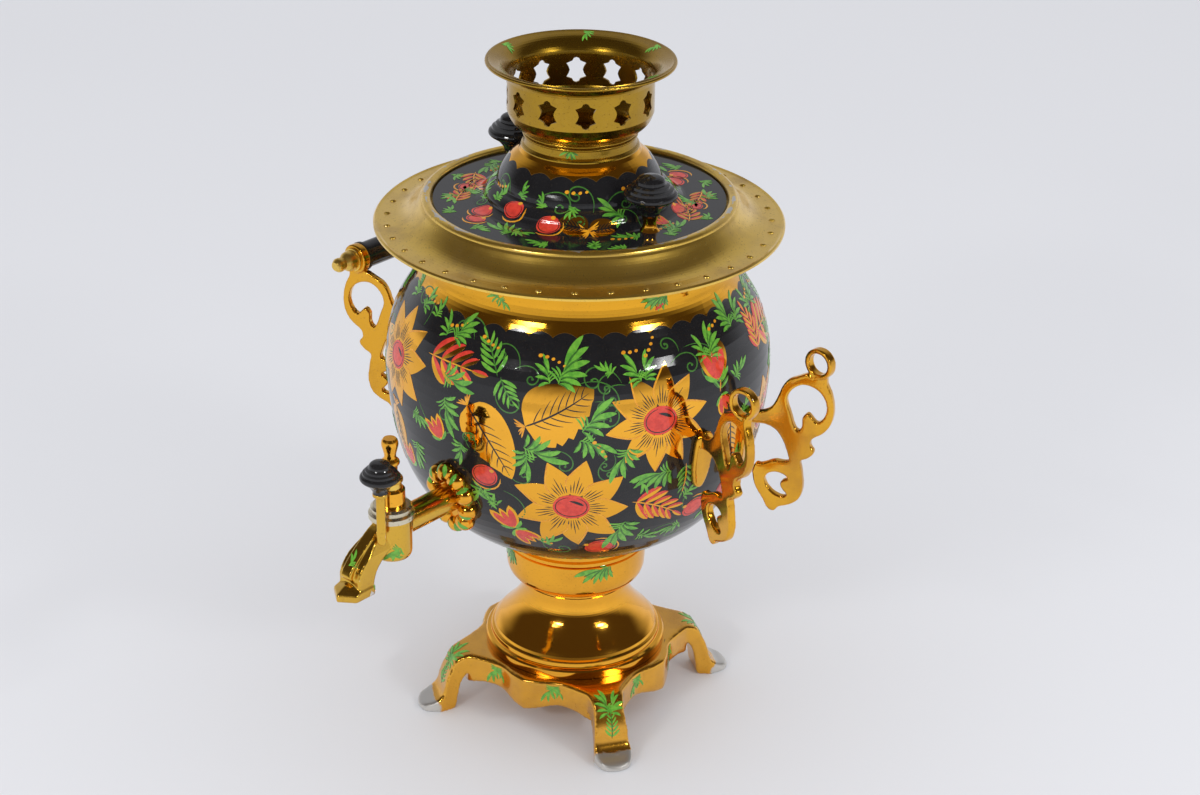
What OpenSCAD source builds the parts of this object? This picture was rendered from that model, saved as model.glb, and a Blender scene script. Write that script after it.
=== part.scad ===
// Painted electric samovar: a round urn on a four-legged cast base, with a pierced crown on a
// lift-off lid, a rotary tap in front and openwork handle brackets on both sides.
// Millimetres, +Z up. The origin is on the urn's vertical axis at the floor.
// The tap points along -Y and the handles lie on the X axis.

/* [Base casting] */
// Height of the flat top of the base
base_h = 35; // [28:1:44]
// Thickness of the base plate
plate_t = 3; // [2:0.5:5]
// Thickness of the apron walls
apron_t = 3; // [2:0.5:4]
// Distance of each foot pad's centre from the axis
foot_r = 82.5; // [78:0.5:90]
// Radius of a foot pad
pad_r = 10.5; // [8:0.5:12]
// Width of a leg at its ankle
ankle_w = 17; // [12:0.5:20]
// Distance of each shoulder's outer edge from the axis
shoulder_r = 73; // [68:1:75]
// Distance of the apron's middle points from the axis
cusp_r = 58.5; // [52:0.5:64]
// Height of the apron's middle points above the floor
cusp_z = 15; // [8:1:22]
// Angle that the base stands turned from square with the tap
base_turn = 11.5; // [-20:0.5:20]

/* [Pedestal] */
// Radius of the pedestal's foot flange
flange_r = 51; // [44:1:54]
// Height of the pedestal's foot, from its flange to the waist
foot_h = 39.5; // [32:0.5:48]
// Radius of the waist
waist_r = 30; // [24:1:34]
// Largest radius of the cup under the urn
cup_r = 39; // [34:1:44]
// Height of the cup
cup_h = 28.5; // [22:0.5:36]
// Sheet thickness of the pedestal
pedestal_t = 1.5; // [1:0.1:2.5]
// Radius of the tie rod through the pedestal
tie_r = 4; // [3:0.5:5]
// Thickness of the washer under the base plate
washer_t = 1.5; // [1:0.5:2.5]
// Height of the nut under the base plate
base_nut_h = 6; // [4:0.5:8]

/* [Urn] */
// Sheet thickness of the urn
urn_t = 1.2; // [0.8:0.1:2]
// Radius of the urn's flat seat on the pedestal
urn_seat_r = 38; // [34:1:42]
// Largest radius of the urn
urn_r = 104.4; // [98:0.2:112]
// Height of the widest place above the urn's seat
urn_wide_h = 107; // [96:1:116]
// Radius of the urn's neck
neck_r = 82.8; // [78:0.2:86]
// Height of the urn's neck
neck_h = 24; // [16:1:30]
// Height of the neck's top edge above the urn's seat
urn_h = 190; // [182:1:198]

/* [Dish and collar] */
// Radius of the dish rim
dish_r = 109; // [104:0.5:116]
// Drop of the dish rim below the collar's top
dish_drop = 14.5; // [10:0.5:20]
// Outer radius of the collar ring round the lid
collar_r = 83.5; // [80:0.5:88]
// Height of the collar's top above the neck's top edge
collar_rise = 10; // [6:0.5:14]
// Sheet thickness of the dish
dish_t = 1.2; // [0.8:0.1:2]
// Number of embossed drops round the dish rim
drop_count = 36; // [12:1:48]
// Radius of one embossed drop
drop_r = 2; // [1:0.1:3]

/* [Lid] */
// Radius of the lid's plate
lid_r = 78; // [72:0.5:80]
// Depth of the lid's plate below the collar's top
lid_sink = 2.4; // [1:0.2:5]
// Sheet thickness of the lid
lid_t = 1.2; // [0.8:0.1:2]
// Radius of the dome's foot on the lid
dome_r = 50; // [44:1:56]
// Height of the dome above the lid's plate
dome_h = 29.5; // [24:0.5:36]
// Radius of the dome's top
dome_top_r = 31; // [26:0.5:36]
// Clearance between the lid's rim and the collar
lid_gap = 0.6; // [0.4:0.1:1.5]
// Angle that the lid is turned from square with the handles
lid_turn = -11; // [-30:1:30]
// Distance of the lid knobs from the axis
knob_place_r = 58.5; // [54:0.5:64]

/* [Crown] */
// Radius of the crown's rim
crown_rim_r = 49.7; // [44:0.5:56]
// Radius of the crown's drum
crown_r = 38.4; // [34:0.2:44]
// Radius of the crown's neck
crown_neck_r = 29.4; // [26:0.2:33]
// Height of the crown
crown_h = 46.5; // [40:0.5:54]
// Sheet thickness of the crown
crown_t = 1.2; // [0.8:0.1:2]
// Number of stars cut in the drum
star_count = 12; // [6:1:16]
// Height of one star
star_h = 14; // [10:0.5:16]
// Width of one star
star_w = 10.6; // [7:0.2:13]
// Height of the stars' middle above the crown's foot
star_z = 28; // [24:0.5:32]
// Radius of the bolt that holds the crown on the lid
crown_bolt_r = 3; // [2:0.5:4]

/* [Knobs] */
// Radius of a lid knob
knob_r = 14; // [11:0.5:17]
// Height of a lid knob
knob_h = 21; // [16:0.5:26]
// Height of the stem under a lid knob
knob_stem_h = 9; // [6:0.5:14]
// Radius of the stem's waist
knob_stem_r = 3.4; // [2.5:0.1:4.5]
// Radius of the screws that hold knobs
knob_screw_r = 1.8; // [1.2:0.1:2.4]

/* [Handles] */
// Distance of the grip's axis from the urn's wall
grip_out = 33.6; // [30:0.2:40]
// Height of a bracket below the middle of its eye
bracket_h = 90.2; // [80:0.2:96]
// Height of the grip's axis above the urn's seat
grip_up = 133; // [126:1:140]
// Distance of each bracket's eye from the middle plane
eye_y = 32; // [28:0.5:36]
// Outer radius of a bracket's eye
eye_r = 8.2; // [7.6:0.2:11]
// Radius of the hole in a bracket's eye
eye_hole_r = 6; // [4:0.1:7]
// Thickness of a bracket's eye
eye_t = 5; // [4:0.5:7]
// Thickness of a bracket
bracket_t = 4; // [3:0.5:6]
// Angle at which the brackets spread outwards
bracket_spread = 19; // [12:1:21]
// Radius of the black grip
grip_r = 7.5; // [6:0.5:9]
// Radius of the rod through the grip
grip_rod_r = 2.5; // [2:0.1:3.5]
// Radius of the studs that hold a bracket to the urn
stud_r = 2; // [1.5:0.1:3]
// Distance of a bracket's foot from the middle plane
lug_y = 19; // [16:0.5:22]
// Thickness of a bracket's foot
lug_t = 3; // [2:0.5:4]
// Thickness of the rings at the grip's ends
ferrule_t = 1.5; // [1:0.5:3]

/* [Tap] */
// Height of the tap's axis above the urn's seat
tap_up = 57.5; // [52:0.5:64]
// Distance of the valve's axis from the urn's axis
valve_y = 143.5; // [138:0.5:152]
// Outer radius of the tap's tube
tube_r = 7.3; // [6:0.1:9]
// Radius of the tap's water way
water_r = 3.6; // [2.5:0.1:4.5]
// Outer radius of the valve's barrel
barrel_r = 10.2; // [9:0.2:12]
// Radius of the plug in the barrel
plug_r = 6; // [5:0.1:6.8]
// Running clearance round the plug
plug_gap = 0.05; // [0.03:0.01:0.09]
// Outer radius of the ring on top of the barrel
bonnet_r = 12; // [11:0.2:13.5]
// Width of the spout
spout_w = 14.4; // [12:0.2:16]
// Width of the rib along the spout
rib_w = 6.4; // [5:0.2:7.2]
// Radius of the gland
gland_r = 7.2; // [6.5:0.1:9]
// Half the height of the lobed rosette round the tube
rosette_r = 22; // [20:0.5:24]
// Half the width of the rosette
rosette_w = 16; // [14:0.5:19]
// Radius of a lobe of the rosette
lobe_r = 5.4; // [5:0.1:6]
// Angle at which the rosette leans with the urn's wall
rosette_tilt = 13; // [0:1:18]
// Number of lobes on the rosette
lobe_count = 10; // [6:1:14]
// Radius of the tap's knob
tap_knob_r = 10.3; // [9:0.1:11]
// Distance of the knob and tail from the valve's axis
tail_out = 17.2; // [16.8:0.1:18]
// Angle of the closed tail from the spout
tail_angle = 28; // [27:1:40]
// Thickness of the tail strip
tail_t = 1.8; // [1.2:0.1:2.4]
// Width of the tail strip
tail_w = 4.6; // [3:0.2:5]
// Length of the tail strip, from the top of the lever to its round end
tail_h = 30; // [24:0.5:30]
// Height of the ring on top of the barrel
bonnet_h = 7; // [6:0.5:8]
// Height of the gland
gland_h = 9.5; // [8:0.5:11]
// Radius of the plug's stem
stem_r = 4; // [3:0.5:4.5]
// Depth of the seal between the urn's wall and the tap's nut
gasket_t = 6; // [6:0.5:8]
// Height of the nut that holds the tap
tap_nut_h = 6; // [4:0.5:7]

/* [Heater and inlet] */
// Radius of the heating tube's ring
heater_ring_r = 50; // [40:1:56]
// Radius of the heating tube
heater_r = 4; // [3:0.5:5]
// Height of the heating ring above the urn's seat
heater_up = 20; // [16:1:26]
// Height of the inlet's axis above the urn's seat
inlet_up = 52; // [48:1:60]
// Outer radius of the inlet's shroud
shroud_r = 17; // [15:0.5:20]
// Depth of the inlet's shroud
shroud_h = 19; // [15:1:24]
// Radius of the inlet's pins
pin_r = 2.4; // [2:0.1:3]
// Distance of a pin from the middle of the inlet
pin_out = 9.5; // [9:0.5:10]
// Radius of the threaded tail that carries the heater through the wall
inlet_tail_r = 13; // [13:0.2:13.4]
// Distance of each lead of the heating tube from the middle plane
lead_x = 8.5; // [6:0.5:8.5]
// Thickness of the heater's flange outside the wall
flange_t = 5; // [5:0.5:7]
// Depth of the seal between the urn's wall and the heater's nut
inlet_seal_t = 9; // [9:0.5:11]
// Height of the nut that holds the heater
heater_nut_h = 6; // [4:0.5:8]
// Radius of the nut that holds the heater
heater_nut_r = 16; // [15:0.5:16]

/* [Hidden] */
$fn = 64;
eps = 0.01;
fit = 0.1;

gold = "#c8922b";
old_brass = "#8d7038";
lacquer = "#1a1a1c";
black_plastic = "#111114";
steel = "#b9bcc0";
rubber = "#3a2a22";

flange_z = base_h + 0.2;
waist_z = flange_z + foot_h;
seat_z = waist_z + cup_h + 3;
neck_z = seat_z + urn_h;
collar_z = neck_z + collar_rise;
lid_z = collar_z - lid_sink;
crown_z = lid_z + dome_h;
neck_foot_h = urn_h - neck_h;
shoulder_h = neck_foot_h - urn_wide_h;
dish_w = dish_r - collar_r;
grip_x = urn_r + grip_out;
grip_z = seat_z + grip_up;
ferrule_r = grip_r + 1;
acorn_r = 6.6;
tap_z = seat_z + tap_up;
inlet_z = seat_z + inlet_up;
knob_z = lid_z + knob_stem_h;
collar_in_r = lid_r + lid_gap;
ledge_z = lid_z - 3.2;
tie_top_z = seat_z + urn_t + 9;
grip_half = eye_y - eye_t / 2 - ferrule_t;
bonnet_z = tap_z + 6.5;
gland_z = bonnet_z + bonnet_h;
barrel_z = tap_z - 16.5;
axial_gap = 0.3;
stem_collar_h = 3.6;
lever_t = 2;
lever_z = gland_z + gland_h + stem_collar_h;
tap_wall = urn_radius(tap_z);
tap_nut_y = tap_wall - urn_t - gasket_t;
inlet_wall = urn_radius(inlet_z);
flange_y = inlet_wall + flange_t;
heater_nut_y = inlet_wall - urn_t - inlet_seal_t;
tail_y = heater_nut_y - heater_nut_h;
lead_r = heater_r - 0.4;
outer_seal_t = 2;

// ---- curves -----------------------------------------------------------------------------

function blend(a, b, c, d, t) =
    0.5 * (2 * b + (c - a) * t + (2 * a - 5 * b + 4 * c - d) * t * t
        + (3 * b - a - 3 * c + d) * t * t * t);
// A smooth open curve through the points, with n steps between two of them
function curve(p, n = 5) = let (m = len(p) - 1) concat(
    [for (i = [0 : m - 1], k = [0 : n - 1])
        blend(p[max(i - 1, 0)], p[i], p[i + 1], p[min(i + 2, m)], k / n)],
    [p[m]]);
// A smooth closed curve through the points
function ring(p, n = 4) = let (m = len(p))
    [for (i = [0 : m - 1], k = [0 : n - 1])
        blend(p[(i + m - 1) % m], p[i], p[(i + 1) % m], p[(i + 2) % m], k / n)];
function back(p) = [for (i = [len(p) - 1 : -1 : 0]) p[i]];
function unit(v) = v / norm(v);
// The open curve moved sideways by d, to its left as it runs
function beside(p, d) = let (m = len(p) - 1)
    [for (i = [0 : m])
        let (t = unit(p[min(i + 1, m)] - p[max(i - 1, 0)])) p[i] + d * [-t.y, t.x]];
function turned(p, a) = [for (q = p) [q.x * cos(a) - q.y * sin(a), q.x * sin(a) + q.y * cos(a)]];
function lifted(p, z) = [for (q = p) [q.x, q.y + z]];
// The radius that a profile of rising heights has at height z
function radius_at(p, z) = let (i = max([for (j = [0 : len(p) - 2]) p[j].y <= z ? j : 0]))
    p[i].x + (p[i + 1].x - p[i].x) * (z - p[i].y) / (p[i + 1].y - p[i].y);

// A sheet that follows a curve and is t thick on its left side
module sheet(p, t) {
    polygon(concat(p, back(beside(p, t))));
}
module along_y(y0, y1, r) {
    translate([0, y0, 0])
        rotate([-90, 0, 0]) cylinder(h = y1 - y0, r = r);
}
module hex(across, h) {
    cylinder(h = h, r = across / sqrt(3), $fn = 6);
}

// ---- base -------------------------------------------------------------------------------

// One quarter of the plate's outline, round the corner on +X
function plate_quarter() = concat(
    curve([
        [cusp_r * cos(45), -cusp_r * sin(45)],
        [cusp_r * 0.785, -cusp_r * 0.57],
        [shoulder_r - 23, -23],
        [shoulder_r - 14, -14.5],
        [shoulder_r - 8, -9],
        [shoulder_r - 7, 0],
        [shoulder_r - 8, 9],
        [shoulder_r - 14, 14.5],
        [shoulder_r - 23, 23],
        [cusp_r * 0.785, cusp_r * 0.57],
        [cusp_r * cos(45), cusp_r * sin(45)]
    ], 3));
function plate_outline() = [for (k = [0 : 3], q = turned(plate_quarter(), 90 * k)) q];

// A leg seen from the side, with x as the distance from the axis
function leg_side() = ring([
    [shoulder_r - 20, base_h - 0.4],
    [shoulder_r - 8, base_h - 0.6],
    [shoulder_r - 1.5, base_h - 3.6],
    [shoulder_r + 1.5, base_h - 9],
    [foot_r - 5, base_h / 2 + 2],
    [foot_r - 2.5, 10],
    [foot_r + 2.5, 6],
    [foot_r + 7.5, 4.2],
    [foot_r + pad_r, 1.6],
    [foot_r + pad_r - 1.5, 0],
    [foot_r, 0],
    [foot_r - 9, 0],
    [foot_r - 11, 8],
    [foot_r - 14, base_h / 2 + 2],
    [shoulder_r - 12, base_h - 7],
    [shoulder_r - 20, base_h - 6]
], 3);
// A leg seen from above
function leg_plan() = let (w = ankle_w / 2) ring([
    [shoulder_r - 22, -w - 5],
    [shoulder_r - 8, -w - 1.5],
    [foot_r - 9, -w],
    [foot_r, -pad_r],
    [foot_r + pad_r * 0.75, -pad_r * 0.7],
    [foot_r + pad_r, 0],
    [foot_r + pad_r * 0.75, pad_r * 0.7],
    [foot_r, pad_r],
    [foot_r - 9, w],
    [shoulder_r - 8, w + 1.5],
    [shoulder_r - 22, w + 5]
], 3);
// The space under the apron between two legs, seen from outside
function arch() = let (
    s = foot_r * sin(45) - ankle_w / 2,
    half = curve([
        [s + 8, 0],
        [s + 3, cusp_z * 0.5],
        [s - 4, cusp_z * 0.95],
        [s - 13, cusp_z + 3.2],
        [s - 24, cusp_z + 4.8],
        [s - 34, cusp_z + 4],
        [s - 43, cusp_z + 1.6],
        [0, cusp_z]
    ], 3)) concat([[s + 8, -1]], half, [for (q = back(half)) if (q.x > 0) [-q.x, q.y]], [[-s - 8, -1]]);

module leg() {
    intersection() {
        rotate([90, 0, 0])
            translate([0, 0, -2 * pad_r])
                linear_extrude(4 * pad_r) polygon(leg_side());
        linear_extrude(base_h) polygon(leg_plan());
    }
}
module base_casting() {
    wall = (shoulder_r - apron_t) / shoulder_r;
    color(gold) rotate([0, 0, 45 + base_turn]) difference() {
        union() {
            difference() {
                linear_extrude(base_h) polygon(plate_outline());
                translate([0, 0, -eps])
                    linear_extrude(base_h - plate_t + eps) scale(wall) polygon(plate_outline());
                for (k = [0 : 3])
                    rotate([0, 0, 45 + 90 * k])
                        rotate([90, 0, 90]) linear_extrude(shoulder_r) polygon(arch());
                for (k = [0 : 3])
                    rotate([0, 0, 90 * k])
                        translate([shoulder_r - 8, -30, -1]) cube([30, 60, base_h - 12]);
            }
            for (k = [0 : 3]) rotate([0, 0, 90 * k]) leg();
        }
        translate([0, 0, -1]) cylinder(h = base_h + 2, r = tie_r + 2 * fit);
    }
}

module pedestal_disc(z, r) {
    translate([0, 0, z])
        difference() {
            cylinder(h = pedestal_t, r = r);
            translate([0, 0, -1]) cylinder(h = pedestal_t + 2, r = tie_r + 2 * fit);
        }
}
function foot_profile() = lifted(concat(
    [[flange_r, 0], [flange_r, 4.4]],
    curve([
        [flange_r - 0.8, 5.4],
        [flange_r - 2.6, 5.9],
        [flange_r - 2.9, 7.2],
        [flange_r - 3.2, 8.6],
        [flange_r - 4.6, 9.6]
    ], 3),
    curve([
        [flange_r - 5.2, 11],
        [flange_r - 7.2, 13.4],
        [flange_r - 10.6, 16.8],
        [waist_r + 6.6, foot_h - 18.3],
        [waist_r + 3.6, foot_h - 14],
        [waist_r + 1.4, foot_h - 9.7],
        [waist_r + 0.4, foot_h - 5.5],
        [waist_r + 0.4, foot_h - 2]
    ], 4), [[waist_r + 0.4, foot_h]]), flange_z);
function cup_profile() = lifted(concat(
    [[waist_r, 0], [waist_r, 1.8]],
    curve([
        [waist_r + 0.8, 2.2],
        [waist_r + 1.8, 2.8],
        [cup_r - 4.5, 3.8],
        [cup_r - 1.6, 6.4],
        [cup_r - 0.2, 10],
        [cup_r + 0.2, 15],
        [cup_r + 0.4, cup_h - 4.2]
    ], 4),
    [[cup_r - 1.2, cup_h - 3.6], [cup_r + 0.6, cup_h - 2.6], [cup_r + 0.6, cup_h - 0.8],
        [urn_seat_r, cup_h], [urn_seat_r, cup_h + 3]]),
    waist_z);

module pedestal_foot() {
    color(gold) {
        rotate_extrude($fn = 96) sheet(foot_profile(), pedestal_t);
        pedestal_disc(waist_z - pedestal_t, waist_r);
    }
}
module pedestal_cup() {
    color(gold) {
        rotate_extrude($fn = 96) sheet(cup_profile(), pedestal_t);
        pedestal_disc(waist_z, waist_r);
    }
}
module base_washer() {
    color(steel) translate([0, 0, base_h - plate_t - washer_t]) difference() {
        cylinder(h = washer_t, r = 4 * tie_r);
        translate([0, 0, -1]) cylinder(h = washer_t + 2, r = tie_r + fit);
    }
}
module base_nut() {
    color(steel) translate([0, 0, base_h - plate_t - washer_t - base_nut_h]) difference() {
        hex(4 * tie_r, base_nut_h);
        translate([0, 0, -1]) cylinder(h = base_nut_h + 2, r = tie_r);
    }
}
module tie_rod() {
    z0 = base_h - plate_t - washer_t - base_nut_h - 2;
    color(steel) translate([0, 0, z0]) cylinder(h = tie_top_z - z0, r = tie_r);
}
module tie_gasket() {
    color(rubber) translate([0, 0, seat_z + urn_t]) difference() {
        cylinder(h = 2, r = 3 * tie_r);
        translate([0, 0, -1]) cylinder(h = 4, r = tie_r);
    }
}
module tie_head_nut() {
    color(steel) translate([0, 0, seat_z + urn_t + 2]) difference() {
        hex(5 * tie_r, 6);
        translate([0, 0, -1]) cylinder(h = 8, r = tie_r);
    }
}

// ---- urn --------------------------------------------------------------------------------

// The urn's outer face from its seat to its top edge
function urn_side() = lifted(concat(
    curve([
        [urn_seat_r, 0],
        [urn_r - 33.4, 0.174 * urn_wide_h],
        [urn_r - 14.4, 0.377 * urn_wide_h],
        [urn_r - 4.2, 0.647 * urn_wide_h],
        [urn_r, urn_wide_h],
        [urn_r - 4.8, urn_wide_h + 0.464 * shoulder_h],
        [neck_r + 4.2, neck_foot_h - 0.17 * shoulder_h],
        [neck_r, neck_foot_h],
        [neck_r, neck_foot_h + neck_h / 3]
    ], 5),
    [[neck_r, urn_h]]), seat_z);
function urn_radius(z) = radius_at(urn_side(), z);

// All that lies inside the urn's outer face, drawn in by d
module urn_solid(d) {
    rotate_extrude($fn = 180)
        polygon(concat([[0, seat_z + d]], beside(urn_side(), d), [[0, neck_z]]));
}
// The stud holes' places, as angle round the axis and height
stud_places = [for (s = [-1, 1], m = [0, 180], down = [0.455, 0.62])
    [m + s * asin(lug_y / urn_r), grip_z - down * bracket_h]];
module radial_rod(place, r0, r1, r) {
    translate([0, 0, place.y])
        rotate([0, 0, place.x]) rotate([0, 90, 0])
            translate([0, 0, r0]) cylinder(h = r1 - r0, r = r);
}
module urn_shell() {
    color(lacquer) difference() {
        rotate_extrude($fn = 96) sheet(concat([[tie_r + 2 * fit, seat_z]], urn_side()), urn_t);
        translate([0, 0, tap_z]) along_y(-urn_r, 0, tube_r + fit);
        translate([0, 0, inlet_z]) along_y(0, urn_r, inlet_tail_r + fit);
        for (p = stud_places) radial_rod(p, urn_r - 20, urn_r + 5, stud_r + fit);
    }
}

function dish_side() = lifted(concat(
    [[dish_r, -dish_drop - 0.8], [dish_r, -dish_drop + 0.4], [dish_r - 0.8, -dish_drop + 1.2],
        [dish_r - 2.2, -dish_drop + 0.6]],
    curve([
        [dish_r - 3.5, -dish_drop + 0.6],
        [collar_r + 0.55 * dish_w, -dish_drop + 1],
        [collar_r + 0.333 * dish_w, -dish_drop + 3.2],
        [collar_r + 0.165 * dish_w, -dish_drop + 7.2],
        [collar_r + 0.055 * dish_w, -dish_drop + 11]
    ], 4),
    curve([
        [collar_r + 0.4, -2.4],
        [collar_r, -1.2],
        [collar_r - 1.2, -0.2],
        [collar_r - 2.4, 0],
        [collar_in_r + 0.6, -0.6],
        [collar_in_r, -1.8]
    ], 3),
    [[collar_in_r, neck_z - collar_z - 6]]), collar_z);
module drop() {
    rotate_extrude($fn = 24)
        polygon([[0, -0.6], [drop_r, -0.6], [drop_r * 0.8, 0.25], [drop_r * 0.45, 0.7], [0, 0.85]]);
}
module dish_collar() {
    color(old_brass) {
        rotate_extrude($fn = 96) union() {
            sheet(dish_side(), dish_t);
            translate([collar_in_r - 3.5, ledge_z - dish_t]) square([4, dish_t]);
            translate([collar_in_r + 0.5, neck_z]) square([neck_r - collar_in_r + 3, dish_t]);
        }
        for (k = [0 : drop_count - 1])
            rotate([0, 0, 360 * k / drop_count])
                translate([dish_r - 0.275 * dish_w, 0, collar_z - dish_drop + 0.75]) drop();
    }
}

// ---- lid --------------------------------------------------------------------------------

function lid_side() = lifted(concat(
    [[lid_r, -2.8], [lid_r, -0.5], [lid_r - 0.6, 0], [dome_r + 6.5, 0]],
    curve([
        [dome_r + 5, 0.3],
        [dome_r + 1, 2.4],
        [dome_r - 0.4, 5.4],
        [dome_r - 3, 8],
        [dome_r - 5.8, 9.6],
        [dome_r - 6.6, 12.6],
        [dome_r - 8.6, dome_h - 12.5],
        [dome_top_r + 6, dome_h - 6],
        [dome_top_r + 1.2, dome_h - 2]
    ], 4),
    [[dome_top_r, dome_h], [crown_bolt_r + fit, dome_h]]), lid_z);
function knob_places() = [for (k = [0, 1]) lid_turn + 180 * k];
// All that lies under the lid's outer face
module lid_solid() {
    rotate_extrude($fn = 96) polygon(concat([[0, lid_side()[0].y]], lid_side(), [[0, crown_z]]));
}
module lid_shell() {
    color(lacquer) difference() {
        rotate_extrude($fn = 96) sheet(lid_side(), lid_t);
        for (a = knob_places())
            rotate([0, 0, a])
                translate([knob_place_r, 0, lid_z - 5]) cylinder(h = 10, r = knob_screw_r + fit);
    }
}
function crown_side() = lifted(concat(
    [[crown_neck_r + 1.8, 0], [crown_neck_r + 1.8, 0.6], [crown_neck_r + 1.4, 1.3]],
    curve([
        [crown_neck_r + 0.4, 2.2],
        [crown_neck_r, 4.6],
        [crown_neck_r, 8.8],
        [crown_neck_r + 3, 10.8],
        [crown_r - 2, 14.6],
        [crown_r, 19.5]
    ], 3),
    curve([
        [crown_r, crown_h - 9.5],
        [crown_r + 1, crown_h - 6.5],
        [crown_r + 4, crown_h - 3.2],
        [crown_rim_r - 2.4, crown_h - 1.3],
        [crown_rim_r - 1.2, crown_h - 0.8]
    ], 4)), crown_z);
function star() = let (w = star_w, h = star_h) concat(
    [for (q = [[0, 0.5], [0.13, 0.46], [0.2, 0.36], [0.5, 0.27], [0.38, 0.12], [0.33, 0]]) [q.x * w, q.y * h]],
    [for (q = [[0.38, -0.12], [0.5, -0.27], [0.2, -0.36], [0.13, -0.46], [0, -0.5]]) [q.x * w, q.y * h]],
    [for (q = [[-0.13, -0.46], [-0.2, -0.36], [-0.5, -0.27], [-0.38, -0.12], [-0.33, 0]]) [q.x * w, q.y * h]],
    [for (q = [[-0.38, 0.12], [-0.5, 0.27], [-0.2, 0.36], [-0.13, 0.46]]) [q.x * w, q.y * h]]);
module crown() {
    color(gold) difference() {
        rotate_extrude($fn = 96) {
            sheet(crown_side(), crown_t);
            translate([crown_rim_r - 1, crown_z + crown_h - 1.05]) circle(r = 1, $fn = 24);
            translate([crown_rim_r - 1.5, crown_z + crown_h - 1.05]) square([1, 1.05]);
            for (z = [6.6, 8.4]) translate([crown_neck_r, crown_z + z]) circle(r = 0.8, $fn = 24);
            translate([crown_bolt_r + fit, crown_z])
                square([crown_neck_r + 1 - crown_bolt_r - fit, crown_t]);
        }
        for (k = [0 : star_count - 1])
            rotate([0, 0, 15 + 360 * k / star_count])
                translate([crown_r - 4, 0, crown_z + star_z])
                    rotate([90, 0, 90]) linear_extrude(8) polygon(star());
    }
}
module crown_bolt() {
    color(steel) {
        translate([0, 0, crown_z - lid_t - 8]) cylinder(h = 9 + crown_t + lid_t, r = crown_bolt_r);
        translate([0, 0, crown_z + crown_t]) cylinder(h = 3.5, r = 2 * crown_bolt_r);
    }
}
module crown_nut() {
    color(steel) translate([0, 0, crown_z - lid_t - 5]) difference() {
        hex(3.7 * crown_bolt_r, 5);
        translate([0, 0, -1]) cylinder(h = 7, r = crown_bolt_r);
    }
}

// A turned knob, as profile for a radius of 1 and a height of 1
function knob_side(r, h) = [for (q = concat(
    [[0, 0], [0.38, 0]],
    curve([[0.38, 0.02], [0.42, 0.1], [0.62, 0.26], [0.92, 0.4], [1, 0.47], [0.98, 0.55], [0.9, 0.59]], 3),
    [[0.87, 0.6], [0.85, 0.66], [0.72, 0.69], [0.7, 0.75], [0.57, 0.78]],
    curve([[0.55, 0.8], [0.5, 0.9], [0.32, 0.97], [0, 1]], 3))) [q.x * r, q.y * h]];
module knob(r, h) {
    difference() {
        rotate_extrude($fn = 64) polygon(knob_side(r, h));
        translate([0, 0, -1]) cylinder(h = 1 + h * 0.45, r = knob_screw_r);
    }
}
module lid_knob(a) {
    color(black_plastic) rotate([0, 0, a]) translate([knob_place_r, 0, knob_z]) knob(knob_r, knob_h);
}
module lid_knob_front() {
    lid_knob(knob_places()[0]);
}
module lid_knob_back() {
    lid_knob(knob_places()[1]);
}
module lid_knob_stems() {
    h = knob_stem_h;
    side = curve([
        [knob_stem_r + 1.8, 0],
        [knob_stem_r + 0.5, h * 0.2],
        [knob_stem_r, h * 0.5],
        [knob_stem_r + 0.8, h * 0.8],
        [knob_stem_r + 1.9, h]
    ], 4);
    color(gold) difference() {
        for (a = knob_places())
            rotate([0, 0, a]) translate([knob_place_r, 0, lid_z]) rotate_extrude($fn = 48)
                polygon(concat([[knob_screw_r + fit, 0]], side, [[knob_screw_r + fit, h]]));
        lid_solid();
    }
}
module lid_knob_nuts() {
    color(steel) for (a = knob_places())
        rotate([0, 0, a]) translate([knob_place_r, 0, lid_z - lid_t - 3]) union() {
            hex(7, 3);
            translate([0, 0, -1]) cylinder(h = 4 + lid_t + knob_stem_h + knob_h * 0.4, r = knob_screw_r);
        }
}

// ---- handles ----------------------------------------------------------------------------

// A bracket seen from the side, measured from the middle of its eye
function bracket_edge() = ring([
    [-5, -6.5], [-11, -9.3], [-16, -12], [-19.2, -16.5], [-21.5, -23], [-25, -29.8], [-30.5, -33],
    [-37, -34], [-37, -40], [-28, -39.6], [-22, -41.5], [-17.8, -46.5], [-15, -53], [-13.6, -58.6],
    [-17.5, -60], [-22, -60.2], [-28.5, -63.6], [-32, -64], [-33.4, -69], [-31.6, -77], [-27, -84],
    [-24.6, -88.4], [-21, -90.2], [-18.2, -87], [-12.6, -84.6], [-7.6, -80.5], [-5.6, -73.5],
    [-6.6, -64], [-7.6, -57.8], [-3.6, -55.2], [-0.4, -51.2], [-2.8, -47.6], [-1.8, -43.4],
    [3.4, -39.6], [7.4, -34], [8.9, -26], [7.4, -17], [4.4, -10.5], [4, -6]
], 3);
function bracket_loop() = ring([
    [-16.8, -24], [-14.8, -18], [-10, -13.8], [-4.6, -13.2], [1, -15.6], [4.6, -20.6], [5.3, -26.5],
    [3.4, -31.4], [0.2, -33.8], [-2.4, -31.6], [-4.8, -29.4], [-7.4, -32.2], [-7.4, -37.4],
    [-9.6, -40.4], [-12, -38], [-14.4, -31]
], 3);
function bracket_hook() = ring([
    [-26.8, -72], [-25, -68.4], [-20.6, -66.6], [-15.8, -67.4], [-13.6, -69.6], [-16.4, -71],
    [-17.8, -73.2], [-16.4, -76.2], [-13.8, -79], [-17, -80.8], [-22, -79.2], [-25.6, -75.6]
], 3);
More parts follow.
